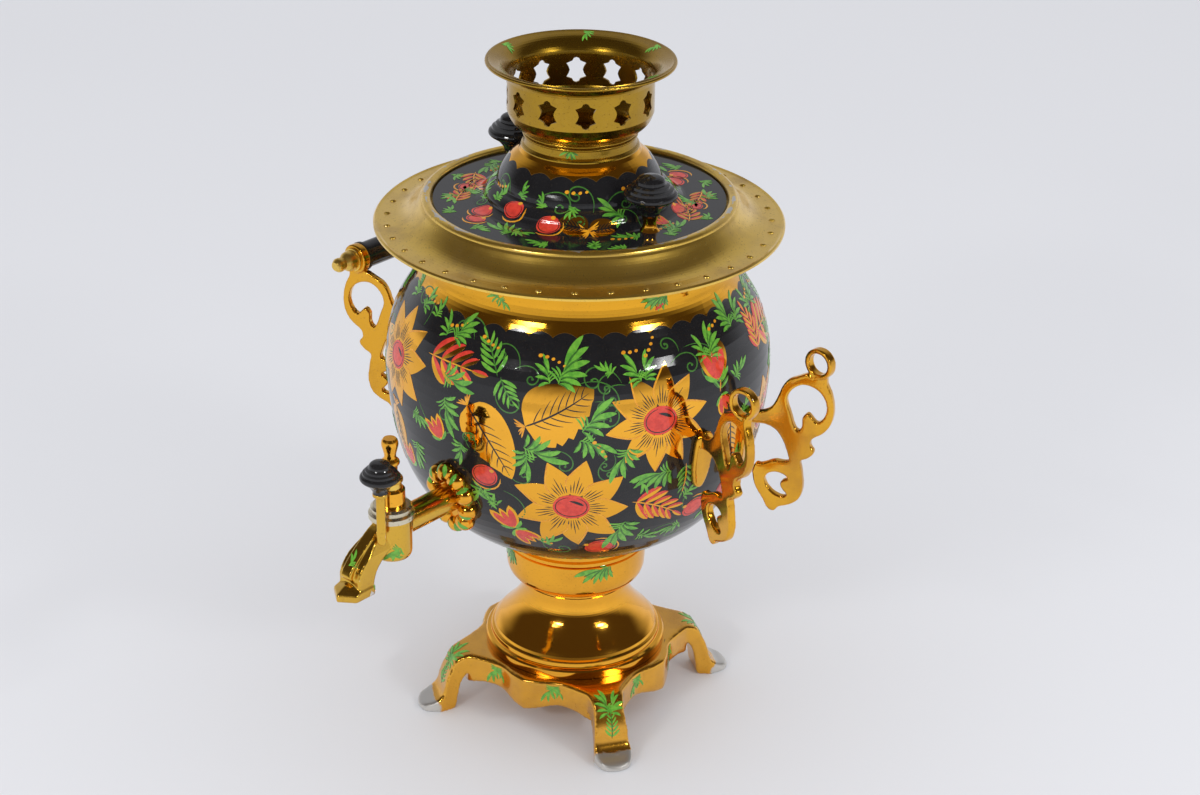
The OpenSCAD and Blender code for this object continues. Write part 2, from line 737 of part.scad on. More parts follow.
// The outlines above are drawn for the reach and height in drawn, and take those of the values
drawn = [33.6, 90.2];
function fitted(p) = [for (q = p) [q.x * grip_out / drawn.x, q.y * bracket_h / drawn.y]];
function lug_edge() = ring([
    [0, -31.5], [4.6, -35], [5.6, -44], [5, -54], [2, -64], [-2.6, -65], [-5, -56], [-5.6, -44], [-4.6, -35]
], 3);

module bracket(left, front) {
    mirror([left, 0, 0]) mirror([0, front, 0]) difference() {
        union() {
            translate([grip_x, eye_y, grip_z]) rotate([90, 0, bracket_spread])
                translate([0, 0, -bracket_t / 2]) linear_extrude(bracket_t) difference() {
                    polygon(fitted(bracket_edge()));
                    polygon(fitted(bracket_loop()));
                    polygon(fitted(bracket_hook()));
                }
            translate([grip_x, 0, grip_z]) along_y(eye_y - eye_t / 2, eye_y + eye_t / 2, eye_r);
            intersection() {
                translate([urn_r - 20, lug_y, grip_z]) rotate([90, 0, 90])
                    linear_extrude(30) polygon([for (q = lug_edge()) [q.x, q.y * bracket_h / drawn.y]]);
                urn_solid(-lug_t);
            }
            for (p = stud_places)
                if (p.x > 0 && p.x < 90) radial_rod(p, urn_r - urn_t - 8, urn_r, stud_r);
        }
        difference() {
            urn_solid(0);
            for (p = stud_places) radial_rod(p, urn_r - 20, urn_r + 5, stud_r);
        }
        translate([grip_x, 0, grip_z]) {
            along_y(0, eye_y + 2 * eye_t, eye_hole_r);
            along_y(0, eye_y - eye_t / 2, ferrule_r + 2 * fit);
            along_y(eye_y + eye_t / 2, eye_y + 3 * eye_t, acorn_r + 2 * fit);
        }
    }
}
module bracket_left_front() {
    color(gold) bracket(1, 1);
}
module bracket_left_back() {
    color(gold) bracket(1, 0);
}
module bracket_right_front() {
    color(gold) bracket(0, 1);
}
module bracket_right_back() {
    color(gold) bracket(0, 0);
}
module bracket_nuts() {
    color(steel) for (p = stud_places)
        translate([0, 0, p.y]) rotate([0, 0, p.x]) rotate([0, 90, 0])
            translate([0, 0, urn_radius(p.y) - urn_t - 4]) difference() {
                hex(4 * stud_r, 3.2);
                translate([0, 0, -1]) cylinder(h = 6, r = stud_r);
            }
}
module at_grip() {
    translate([-grip_x, 0, grip_z]) children();
}
module grip() {
    color(black_plastic) at_grip() difference() {
        along_y(-grip_half, grip_half, grip_r);
        along_y(-grip_half - 1, grip_half + 1, grip_rod_r + fit);
    }
}
module grip_ferrules() {
    color(black_plastic) at_grip() for (s = [0, 1])
        mirror([0, s, 0]) difference() {
            along_y(grip_half, grip_half + ferrule_t, ferrule_r);
            along_y(grip_half - 1, grip_half + ferrule_t + 1, grip_rod_r + fit);
        }
}
module grip_bushes() {
    color(gold) at_grip() for (s = [0, 1])
        mirror([0, s, 0]) difference() {
            along_y(grip_half + ferrule_t, eye_y + eye_t / 2, eye_hole_r);
            along_y(0, eye_y + eye_t, grip_rod_r + fit);
        }
}
module grip_rod() {
    end = eye_y + eye_t / 2 + 8;
    color(steel) at_grip() along_y(-end, end, grip_rod_r);
}
module grip_acorn_nuts() {
    color(old_brass) at_grip() for (s = [0, 1])
        mirror([0, s, 0]) translate([0, eye_y + eye_t / 2, 0]) rotate([-90, 0, 0]) difference() {
            rotate_extrude($fn = 48) polygon(concat(
                [[0, 0], [acorn_r, 0], [acorn_r, 1.6], [5.8, 1.8], [6, 3.2]],
                curve([[5.8, 4], [5.4, 6], [4, 8], [3.4, 9], [4, 10.6], [4, 12.8], [3, 14.4]], 3),
                [[2.4, 15], [0, 15]]));
            translate([0, 0, -1]) cylinder(h = 9 + fit, r = grip_rod_r);
        }
}

// ---- tap --------------------------------------------------------------------------------

module at_valve(z = 0) {
    translate([0, -valve_y, z]) children();
}
// The spout seen from the side, with x as the distance in front of the valve's axis
function spout_side() = concat(
    [[0, bonnet_z - 1]],
    curve([[barrel_r - 1, bonnet_z - 2.5], [15, tap_z + 1], [22, tap_z - 5], [28.5, tap_z - 11.5], [31, tap_z - 17]], 3),
    [[31, tap_z - 24], [21, tap_z - 24]],
    curve([[20.5, tap_z - 22], [18.5, tap_z - 16], [13.5, tap_z - 10.5], [8, tap_z - 7]], 3),
    [[0, tap_z - 7]]);
function rib_side() = concat(
    [[0, bonnet_z - 0.6]],
    curve([[barrel_r - 2, bonnet_z - 0.6], [14, tap_z + 3.6], [21, tap_z - 1.5], [28.5, tap_z - 7.8],
        [32.6, tap_z - 12.6]], 3),
    [[34, tap_z - 15], [33, tap_z - 17.2], [29, tap_z - 17], [10, tap_z - 6], [0, tap_z - 6]]);
module seen_from_side(half_width) {
    translate([0, -valve_y, 0]) rotate([90, 0, -90])
        translate([0, 0, -half_width]) linear_extrude(2 * half_width) children();
}
module spout() {
    w = spout_w / 2;
    ridge = rib_w / 2;
    intersection() {
        seen_from_side(w) polygon(spout_side());
        translate([0, -valve_y + 1, 0]) rotate([90, 0, 0]) linear_extrude(60)
            polygon([
                [-ridge, tap_z + 12], [ridge, tap_z + 12], [ridge, tap_z + 3.5], [w, tap_z - 7],
                [w, tap_z - 30], [-w, tap_z - 30], [-w, tap_z - 7], [-ridge, tap_z + 3.5]
            ]);
    }
    seen_from_side(ridge) polygon(rib_side());
}
// A slice of the nozzle: w is half its width, f0 and f1 its reach in front of the valve's axis
module nozzle_slab(z, h, w, f0, f1) {
    at_valve(z) linear_extrude(h) polygon([
        [-w, -f1 + 6], [0, -f1], [w, -f1 + 6],
        [w, -f0 - 2.5], [w - 2.5, -f0], [-w + 2.5, -f0], [-w, -f0 - 2.5]
    ]);
}
module nozzle() {
    hull() {
        nozzle_slab(tap_z - 21, 0.5, 6.6, 20, 34);
        nozzle_slab(tap_z - 24.5, 0.5, 8.4, 19, 40);
    }
    nozzle_slab(tap_z - 27.7, 3.5, 8.4, 19, 40);
}
module tap_body() {
    outlet = [0, -valve_y - 27, tap_z - 19];
    color(gold) difference() {
        union() {
            translate([0, 0, tap_z]) along_y(-valve_y, tap_nut_h - tap_nut_y, tube_r);
            at_valve() rotate_extrude($fn = 64) polygon([
                [0, barrel_z], [barrel_r - 3, barrel_z], [barrel_r - 1.2, barrel_z + 0.8],
                [barrel_r - 0.3, barrel_z + 2.2], [barrel_r, barrel_z + 4],
                [barrel_r, bonnet_z], [0, bonnet_z]
            ]);
            spout();
            nozzle();
        }
        at_valve(barrel_z + 2.5) cylinder(h = 40, r = plug_r + plug_gap);
        at_valve(bonnet_z) cylinder(h = bonnet_h, r = bonnet_r + 2 * fit);
        translate([0, 0, tap_z]) along_y(-valve_y, 0, water_r);
        at_valve(tap_z) rotate([-90 - 35, 0, 180]) cylinder(h = 32, r = water_r);
        translate(outlet - [0, 0, 20]) cylinder(h = 21, r = water_r);
    }
}
module tap_bonnet() {
    color(steel) at_valve(bonnet_z) difference() {
        rotate_extrude($fn = 64) polygon([
            [0, 0], [bonnet_r, 0], [bonnet_r, 2.6], [bonnet_r - 1, 3.2], [bonnet_r - 1.5, 3.6],
            [bonnet_r - 1.2, 5.8], [bonnet_r - 2.4, bonnet_h], [0, bonnet_h]
        ]);
        translate([0, 0, -1]) cylinder(h = bonnet_h + 2, r = plug_r + plug_gap);
    }
}
module tap_packing() {
    color(rubber) at_valve(gland_z - 2.5) difference() {
        cylinder(h = 2.5, r = plug_r + plug_gap);
        translate([0, 0, -1]) cylinder(h = 5, r = stem_r + plug_gap);
    }
}
module tap_gland() {
    color(gold) at_valve(gland_z) difference() {
        rotate_extrude($fn = 64) polygon([
            [0, 0], [gland_r, 0], [gland_r, gland_h - 1], [gland_r - 1, gland_h], [0, gland_h]
        ]);
        translate([0, 0, -1]) cylinder(h = gland_h + 2, r = stem_r + plug_gap);
    }
}
module tap_plug() {
    foot = barrel_z + 2.5 + axial_gap;
    shoulder = gland_z - 2.5 - axial_gap;
    color(old_brass) difference() {
        union() {
            at_valve(foot) cylinder(h = shoulder - foot, r = plug_r);
            at_valve(foot) cylinder(h = lever_z - foot + lever_t, r = stem_r);
            at_valve(gland_z + gland_h + axial_gap)
                cylinder(h = stem_collar_h - axial_gap, r = stem_r + 1.5);
        }
        translate([-plug_r - 1, -valve_y, tap_z]) rotate([0, 90, 0]) cylinder(h = 2 * plug_r + 2, r = water_r);
    }
}
module at_tail(z = 0) {
    at_valve(z) rotate([0, 0, tail_angle - 90]) translate([tail_out, 0, 0]) children();
}
module tap_lever() {
    top = lever_t * 0.75;
    straight = tail_h - tail_w / 2 - top;
    color(gold) difference() {
        union() {
            at_valve(lever_z) rotate([0, 0, tail_angle - 90]) linear_extrude(lever_t) difference() {
                union() {
                    circle(r = stem_r + 2.2);
                    translate([0, -tail_w / 2]) square([tail_out, tail_w]);
                    translate([tail_out, 0]) circle(r = 4);
                }
                circle(r = stem_r);
            }
            at_tail(lever_z + lever_t - top) rotate([0, 90, 0])
                translate([0, 0, -tail_t / 2]) linear_extrude(tail_t) union() {
                    translate([0, -tail_w / 2]) square([straight, tail_w]);
                    translate([straight, 0]) circle(r = tail_w / 2);
                }
        }
        at_tail(lever_z + lever_t / 2) cylinder(h = lever_t, r = knob_screw_r);
    }
}
// The rivet that holds the knob, set in the upper half of the lever's end
module tap_knob_rivet() {
    color(steel) at_tail(lever_z + lever_t / 2) cylinder(h = 7, r = knob_screw_r);
}
module tap_knob() {
    color(black_plastic) at_tail(lever_z + lever_t) knob(tap_knob_r, 18);
}
module tap_finial() {
    color(gold) at_valve(lever_z + lever_t) rotate_extrude($fn = 48) polygon(concat(
        [[0, 0], [5.2, 0], [5.2, 1.4]],
        curve([[4.4, 2.2], [3.6, 4], [3.8, 6.4], [4.8, 8.2], [4.6, 9.8], [3.3, 11.2], [3.1, 13.2],
            [3.8, 16.2], [4.4, 18.8], [4.2, 20.8], [3.6, 21.8]], 3),
        [[3.3, 22.2], [0, 22.2]]));
}
module tap_rosette() {
    body_r = rosette_w - lobe_r / 2;
    reach = rosette_r - rosette_w;
    color(gold) difference() {
        translate([0, -tap_wall, tap_z]) rotate([90 + rosette_tilt, 0, 0]) union() {
            for (s = [-1, 1]) translate([0, s * reach, -6]) cylinder(h = 10, r = body_r);
            translate([-body_r, -reach, -6]) cube([2 * body_r, 2 * reach, 10]);
            for (k = [0 : lobe_count - 1])
                let (a = 360 * (k + 0.5) / lobe_count)
                    translate([(rosette_w - lobe_r) * cos(a), (rosette_r - lobe_r) * sin(a), 2])
                        sphere(r = lobe_r, $fn = 48);
        }
        urn_solid(0);
        translate([0, 0, tap_z]) along_y(-2 * urn_r, 0, tube_r + fit);
    }
}
module tap_gasket() {
    color(rubber) difference() {
        intersection() {
            translate([0, 0, tap_z]) along_y(-urn_r, -tap_nut_y, 1.6 * tube_r);
            urn_solid(urn_t);
        }
        translate([0, 0, tap_z]) along_y(-urn_r, 0, tube_r);
    }
}
module tap_backnut() {
    color(steel) translate([0, -tap_nut_y, tap_z]) rotate([-90, 0, 0]) difference() {
        hex(3.2 * tube_r, tap_nut_h);
        translate([0, 0, -1]) cylinder(h = tap_nut_h + 2, r = tube_r);
    }
}

// ---- heater and inlet -------------------------------------------------------------------

module heater_tube() {
    z = seat_z + heater_up;
    y = sqrt(pow(heater_ring_r, 2) - pow(lead_x, 2));
    color(steel) {
        translate([0, 0, z]) rotate_extrude($fn = 96)
            translate([heater_ring_r, 0]) circle(r = heater_r, $fn = 32);
        for (m = [-1, 1])
            translate([m * lead_x, y, 0]) {
                translate([0, 0, z]) cylinder(h = inlet_z - z, r = lead_r);
                translate([0, 0, inlet_z]) sphere(r = heater_r);
                translate([0, 0, inlet_z]) along_y(0, tail_y - y, lead_r);
            }
    }
}
module heater_flange() {
    color(steel) translate([0, 0, inlet_z]) union() {
        along_y(tail_y, flange_y, inlet_tail_r);
        difference() {
            along_y(inlet_wall - 12, flange_y, shroud_r + 3);
            translate([0, 0, -inlet_z]) urn_solid(-outer_seal_t);
        }
    }
}
// The seals on both sides of the urn's wall
module heater_gasket() {
    color(rubber) difference() {
        union() {
            difference() {
                intersection() {
                    translate([0, 0, inlet_z]) along_y(inlet_wall - 12, flange_y, shroud_r + 2);
                    urn_solid(-outer_seal_t);
                }
                urn_solid(0);
            }
            intersection() {
                translate([0, 0, inlet_z]) along_y(heater_nut_y, urn_r, heater_nut_r);
                urn_solid(urn_t);
            }
        }
        translate([0, 0, inlet_z]) along_y(0, 2 * urn_r, inlet_tail_r);
    }
}
module heater_backnut() {
    color(steel) translate([0, 0, inlet_z]) difference() {
        along_y(tail_y, heater_nut_y, heater_nut_r);
        along_y(0, urn_r, inlet_tail_r);
    }
}
module inlet_shroud() {
    color(black_plastic) translate([0, flange_y, inlet_z]) rotate([-90, 0, 0]) difference() {
        cylinder(h = shroud_h, r = shroud_r);
        translate([0, 0, 3]) cylinder(h = shroud_h, r = shroud_r - 2.5);
        for (s = [-1, 1])
            translate([s * pin_out, 0, -1]) cylinder(h = shroud_h, r = pin_r);
    }
}
module inlet_pins() {
    color(steel) translate([0, flange_y, inlet_z]) rotate([-90, 0, 0])
        for (s = [-1, 1])
            translate([s * pin_out, 0, 0]) cylinder(h = shroud_h - 3, r = pin_r);
}

base_casting();
base_washer();
base_nut();
tie_rod();
tie_gasket();
tie_head_nut();
pedestal_foot();
pedestal_cup();
urn_shell();
dish_collar();
bracket_left_front();
bracket_left_back();
bracket_right_front();
bracket_right_back();
bracket_nuts();
grip();
grip_ferrules();
grip_rod();
grip_bushes();
grip_acorn_nuts();
tap_body();
tap_rosette();
tap_gasket();
tap_backnut();
tap_bonnet();
tap_packing();
tap_gland();
tap_plug();
tap_lever();
tap_knob();
tap_knob_rivet();
tap_finial();
heater_tube();
heater_flange();
heater_gasket();
heater_backnut();
inlet_shroud();
inlet_pins();
lid_shell();
crown();
crown_bolt();
crown_nut();
lid_knob_front();
lid_knob_back();
lid_knob_stems();
lid_knob_nuts();
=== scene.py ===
"""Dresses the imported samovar: its metals, lacquer, wear and folk painting, and the studio round it."""

import logging
import math
import random
from bisect import bisect_right
from collections.abc import Callable, Sequence
from dataclasses import dataclass, field, replace
from enum import Enum
from typing import ClassVar, Protocol

import bpy
from mathutils import Euler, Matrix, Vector
from mathutils.bvhtree import BVHTree


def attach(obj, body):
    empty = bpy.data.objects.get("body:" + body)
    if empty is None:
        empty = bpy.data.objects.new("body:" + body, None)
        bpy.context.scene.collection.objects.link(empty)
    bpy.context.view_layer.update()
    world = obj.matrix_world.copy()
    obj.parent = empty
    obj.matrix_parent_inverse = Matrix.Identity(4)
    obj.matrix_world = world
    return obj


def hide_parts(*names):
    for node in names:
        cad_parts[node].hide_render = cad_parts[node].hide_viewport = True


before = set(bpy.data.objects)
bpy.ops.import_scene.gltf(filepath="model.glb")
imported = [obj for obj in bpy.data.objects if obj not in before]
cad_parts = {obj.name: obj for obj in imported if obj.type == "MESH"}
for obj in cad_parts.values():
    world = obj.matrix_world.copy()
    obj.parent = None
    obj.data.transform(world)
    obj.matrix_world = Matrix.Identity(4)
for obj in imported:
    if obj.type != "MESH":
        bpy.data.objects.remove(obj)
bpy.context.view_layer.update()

MM = 0.001
LOG = logging.getLogger("samovar")
Colour = tuple[float, float, float]
Point = tuple[float, float]
Spot = tuple[Vector, Vector]
Band = tuple[float, float, float, float]


class Paint(Enum):
    """The paints and the bare gilding that the decoration is made of."""

    GILT = "gilt"
    RED = "red"
    GREEN = "green"
    LIME = "lime"
    YELLOW = "yellow"
    BLACK = "black"


class Face(Enum):
    """The side of a turned piece that is measured for painting."""

    OUTSIDE = "outside"
    ABOVE = "above"


# ---------------------------------------------------------------- shader graphs


class Graph:
    """Builds shader nodes in one node tree."""

    def __init__(self, tree: bpy.types.NodeTree) -> None:
        """Takes the tree that the nodes go into."""
        self.tree = tree

    def node(self, kind: str, **values: object) -> bpy.types.Node:
        """Adds a node.

        Args:
            kind: Blender's name of the node type, without ShaderNode.
            values: socket names with a value or a socket to link, or attributes of the node.
        Returns:
            The node.
        """
        made = self.tree.nodes.new("ShaderNode" + kind)
        for name, value in values.items():
            if hasattr(made, name):
                setattr(made, name, value)
        for name, value in values.items():
            if not hasattr(made, name):
                self.feed(made.inputs[name.replace("_", " ")], value)
        return made

    def feed(self, socket: bpy.types.NodeSocket, value: object) -> None:
        """Links a socket to another, or sets its value.

        Args:
            socket: the socket that takes the value.
            value: a socket to link, or a number, vector or colour.
        """
        if isinstance(value, bpy.types.NodeSocket):
            self.tree.links.new(value, socket)
        elif socket.type == "RGBA":
            socket.default_value = (*value, 1.0)
        else:
            socket.default_value = value

    def maths(self, what: str, a: object, b: object = 0.0, c: object = 0.0) -> bpy.types.NodeSocket:
        """Adds a Math node.

        Args:
            what: its operation.
            a, b, c: its inputs.
        Returns:
            Its output.
        """
        made = self.tree.nodes.new("ShaderNodeMath")
        made.operation = what
        for socket, value in zip(made.inputs, (a, b, c), strict=True):
            self.feed(socket, value)
        return made.outputs[0]

    def length(self, a: object, b: object) -> bpy.types.NodeSocket:
        """Returns the length of the flat vector that two numbers make."""
        squares = self.maths("MULTIPLY", a, a), self.maths("MULTIPLY", b, b)
        return self.maths("SQRT", self.maths("ADD", *squares))

    def step(self, value: object, low: float, high: float) -> bpy.types.NodeSocket:
        """Maps a value smoothly to the range from 0 to 1.

        Args:
            value: the value.
            low: the value that gives 0.
            high: the value that gives 1.
        Returns:
            The mapped value.
        """
        made = self.node("MapRange", interpolation_type="SMOOTHSTEP")
        self.feed(made.inputs["Value"], value)
        made.inputs["From Min"].default_value = low
        made.inputs["From Max"].default_value = high
        return made.outputs[0]

    def mix(self, mask: object, a: object, b: object) -> bpy.types.NodeSocket:
        """Mixes two colours.

        Args:
            mask: 0 for the first and 1 for the second.
            a, b: the colours.
        Returns:
            The mixed colour.
        """
        made = self.tree.nodes.new("ShaderNodeMix")
        made.data_type = "RGBA"
        self.feed(made.inputs[0], mask)
        self.feed(made.inputs[6], a)
        self.feed(made.inputs[7], b)
        return made.outputs[2]

    def between(self, mask: object, a: object, b: object) -> bpy.types.NodeSocket:
        """Mixes two numbers.

        Args:
            mask: 0 for the first and 1 for the second.
            a, b: the numbers.
        Returns:
            The mixed number.
        """
        made = self.tree.nodes.new("ShaderNodeMix")
        self.feed(made.inputs[0], mask)
        self.feed(made.inputs[2], a)
        self.feed(made.inputs[3], b)
        return made.outputs[0]

    def noise(
        self, place: object, scale: float, detail: float = 3.0, rough: float = 0.55
    ) -> bpy.types.NodeSocket:
        """Adds a noise texture.

        Args:
            place: where it is read.
            scale: its scale.
            detail: its number of octaves.
            rough: how strong the finer octaves are.
        Returns:
            Its factor.
        """
        made = self.node("TexNoise", Scale=scale, Detail=detail, Roughness=rough)
        self.feed(made.inputs["Vector"], place)
        return made.outputs["Fac"]

    def group(self, tree: bpy.types.NodeTree, **values: object) -> bpy.types.Node:
        """Places a node group with its own values.

        Args:
            tree: the group.
            values: names of its inputs, with a value or a socket to link.
        Returns:
            The group's node.
        """
        made = self.tree.nodes.new("ShaderNodeGroup")
        made.node_tree = tree
        for name, value in values.items():
            self.feed(made.inputs[name.replace("_", " ")], value)
        return made


Fill = Callable[[Graph, bpy.types.Node], dict[str, bpy.types.NodeSocket]]


@dataclass(frozen=True)
class Effect:
    """A shared surface effect, built once as a node group.

    Attributes:
        name: the group's name.
        inputs: names and default values of the number sockets.
        outputs: names of the number sockets it puts out.
    """

    name: str
    inputs: tuple[tuple[str, float], ...]
    outputs: tuple[str, ...]

    def build(self, fill: Fill) -> bpy.types.NodeTree:
        """Makes the group.

        Args:
            fill: builds the inside and returns the sockets of the outputs.
        Returns:
            The node tree.
        """
        if self.name in bpy.data.node_groups:
            return bpy.data.node_groups[self.name]
        tree = bpy.data.node_groups.new(self.name, "ShaderNodeTree")
        for name, value in self.inputs:
            made = tree.interface.new_socket(name, in_out="INPUT", socket_type="NodeSocketFloat")
            made.default_value = value
        for name in self.outputs:
            tree.interface.new_socket(name, in_out="OUTPUT", socket_type="NodeSocketFloat")
        graph = Graph(tree)
        source, sink = tree.nodes.new("NodeGroupInput"), tree.nodes.new("NodeGroupOutput")
        for name, socket in fill(graph, source).items():
            tree.links.new(socket, sink.inputs[name])
        return tree


def place_of(graph: Graph) -> bpy.types.NodeSocket:
    """Returns the place on the object in the row frame, in metres."""
    return graph.node("TexCoord").outputs["Object"]


def tarnish_group() -> bpy.types.NodeTree:
    """Makes the brown spots and clouds that age brass.

    Returns:
        The group.
    """

    def fill(graph: Graph, given: bpy.types.Node) -> dict[str, bpy.types.NodeSocket]:
        """Builds clouds and specks from noise.

        Args:
            graph: the group's graph.
            given: its inputs.
        Returns:
            Its outputs by their names.
        """
        place = place_of(graph)
        cloud = graph.noise(place, 26.0, 4.0, 0.6)
        speck = graph.noise(place, 900.0, 2.0, 0.5)
        grit = graph.maths("MULTIPLY", graph.step(speck, 0.6, 0.74), given.outputs["Specks"])
        veil = graph.maths("MULTIPLY", graph.step(cloud, 0.42, 0.72), given.outputs["Clouds"])
        return {"Specks": grit, "Clouds": veil, "Sheen": graph.noise(place, 140.0, 3.0)}

    return Effect(
        "tarnish", (("Specks", 0.5), ("Clouds", 0.5)), ("Specks", "Clouds", "Sheen")
    ).build(fill)


def rubbed_edge_group() -> bpy.types.NodeTree:
    """Makes the mask of a casting's rubbed edges.

    Returns:
        The group.
    """

    def fill(graph: Graph, given: bpy.types.Node) -> dict[str, bpy.types.NodeSocket]:
        """Builds the mask from pointiness and noise.

        Args:
            graph: the group's graph.
            given: its inputs.
        Returns:
            Its outputs by their names.
        """
        point = graph.node("NewGeometry").outputs["Pointiness"]
        place = place_of(graph)
        ragged = graph.maths("MULTIPLY_ADD", graph.noise(place, 130.0, 4.0, 0.65), 0.16, -0.08)
        sharp = graph.maths("ADD", graph.maths("SUBTRACT", point, 0.5), ragged)
        edge = graph.step(graph.maths("SUBTRACT", sharp, given.outputs["Start"]), 0.0, 0.02)
        return {"Mask": graph.maths("MULTIPLY", edge, given.outputs["Amount"])}

    return Effect("rubbed_edge", (("Start", 0.05), ("Amount", 1.0)), ("Mask",)).build(fill)


def band_group() -> bpy.types.NodeTree:
    """Makes the mask of a ragged band round the axis, used for rubbed wear and for the dark seam rings of
    dirt and painted crevice shade.

    Returns:
        The group.
    """

    def fill(graph: Graph, given: bpy.types.Node) -> dict[str, bpy.types.NodeSocket]:
        """Builds the band from the distance to a height and a radius.

        Args:
            graph: the group's graph.
            given: its inputs.
        Returns:
            Its outputs by their names.
        """
        place = place_of(graph)
        apart = graph.node("SeparateXYZ", Vector=place).outputs
        up = graph.maths("SUBTRACT", apart[2], given.outputs["Height"])
        out = graph.maths("SUBTRACT", graph.length(apart[0], apart[1]), given.outputs["Radius"])
        far = graph.length(up, out)
        near = graph.maths("SUBTRACT", 1.0, graph.maths("DIVIDE", far, given.outputs["Width"]))
        ragged = graph.maths("MULTIPLY_ADD", graph.noise(place, 90.0, 5.0, 0.62), 2.0, -1.35)
        broken = graph.maths("MULTIPLY_ADD", ragged, given.outputs["Break"], near)
        return {"Mask": graph.step(broken, 0.0, 0.12)}

    sockets = (("Height", 0.0), ("Radius", 0.1), ("Width", 0.003), ("Break", 0.5))
    return Effect("ring_band", sockets, ("Mask",)).build(fill)


def scallop_group() -> bpy.types.NodeTree:
    """Makes the mask of a scalloped border: 1 above the row of arcs, 0 below it.

    Returns:
        The group.
    """

    def fill(graph: Graph, given: bpy.types.Node) -> dict[str, bpy.types.NodeSocket]:
        """Builds the border from the angle round the axis.

        Args:
            graph: the group's graph.
            given: its inputs.
        Returns:
            Its outputs by their names.
        """
        apart = graph.node("SeparateXYZ", Vector=place_of(graph)).outputs
        turn = graph.maths("ARCTAN2", apart[1], apart[0])
        phase = graph.maths("MULTIPLY", turn, given.outputs["Half count"])
        wave = graph.maths("ABSOLUTE", graph.maths("SINE", phase))
        rise = graph.maths("MULTIPLY", graph.maths("POWER", wave, 0.75), given.outputs["Rise"])
        edge = graph.maths("ADD", given.outputs["Height"], rise)
        return {"Mask": graph.step(graph.maths("SUBTRACT", apart[2], edge), -0.00008, 0.00008)}

    sockets = (("Half count", 18.0), ("Height", 0.26), ("Rise", 0.002))
    return Effect("scallops", sockets, ("Mask",)).build(fill)


def inner_side_group() -> bpy.types.NodeTree:
    """Makes the mask of a hollow shell's inner side: 1 where a face looks towards the middle.

    Returns:
        The group.
    """

    def fill(graph: Graph, given: bpy.types.Node) -> dict[str, bpy.types.NodeSocket]:
        """Builds the mask from the normal and the way out from the middle.

        Args:
            graph: the group's graph.
            given: its inputs.
        Returns:
            Its outputs by their names.
        """
        middle = graph.node("CombineXYZ")
        graph.feed(middle.inputs[2], given.outputs["Middle"])
        out = graph.node("VectorMath", operation="SUBTRACT")
        graph.feed(out.inputs[0], place_of(graph))
        graph.feed(out.inputs[1], middle.outputs[0])
        faced = graph.node("VectorMath", operation="DOT_PRODUCT")
        graph.feed(faced.inputs[0], graph.node("NewGeometry").outputs["Normal"])
        graph.feed(faced.inputs[1], out.outputs[0])
        return {"Mask": graph.step(faced.outputs["Value"], -0.001, -0.003)}

    return Effect("inner_side", (("Middle", 0.2),), ("Mask",)).build(fill)


def hand_rubbed_group() -> bpy.types.NodeTree:
    """Makes the fine scratches and wipe marks that soften a polish.

    Returns:
        The group.
    """

    def fill(graph: Graph, given: bpy.types.Node) -> dict[str, bpy.types.NodeSocket]:
        """Builds stretched noise for marks and a wide one for wiping.

        Args:
            graph: the group's graph.
            given: its inputs.
        Returns:
            Its outputs by their names.
        """
        place = place_of(graph)
        turned = graph.node("Mapping", Vector=place)
        turned.inputs["Rotation"].default_value = (0.3, 0.2, 0.6)
        turned.inputs["Scale"].default_value = (160.0, 160.0, 1900.0)
        lines = graph.step(graph.noise(turned.outputs[0], 1.0, 2.0), 0.6, 0.8)
        marks = graph.maths("MULTIPLY", lines, given.outputs["Scratches"])
        wiped = graph.maths("MULTIPLY", graph.noise(place, 17.0, 4.0, 0.6), given.outputs["Wiping"])
        return {"Roughness": graph.maths("ADD", marks, wiped), "Height": graph.noise(place, 42.0, 2.0)}

    sockets = (("Scratches", 0.06), ("Wiping", 0.08))
    return Effect("hand_rubbed", sockets, ("Roughness", "Height")).build(fill)


# ---------------------------------------------------------------- finishes


def material(name: str) -> tuple[bpy.types.Material, Graph, bpy.types.Node]:
    """Starts a node material.

    Args:
        name: its name.
    Returns:
        The material, its graph and its Principled BSDF.
    """
    made = bpy.data.materials.new(name)
    made.use_nodes = True
    made.node_tree.nodes.clear()
    graph = Graph(made.node_tree)
    shader = graph.node("BsdfPrincipled")
    sink = graph.node("OutputMaterial")
    made.node_tree.links.new(shader.outputs[0], sink.inputs["Surface"])
    return made, graph, shader


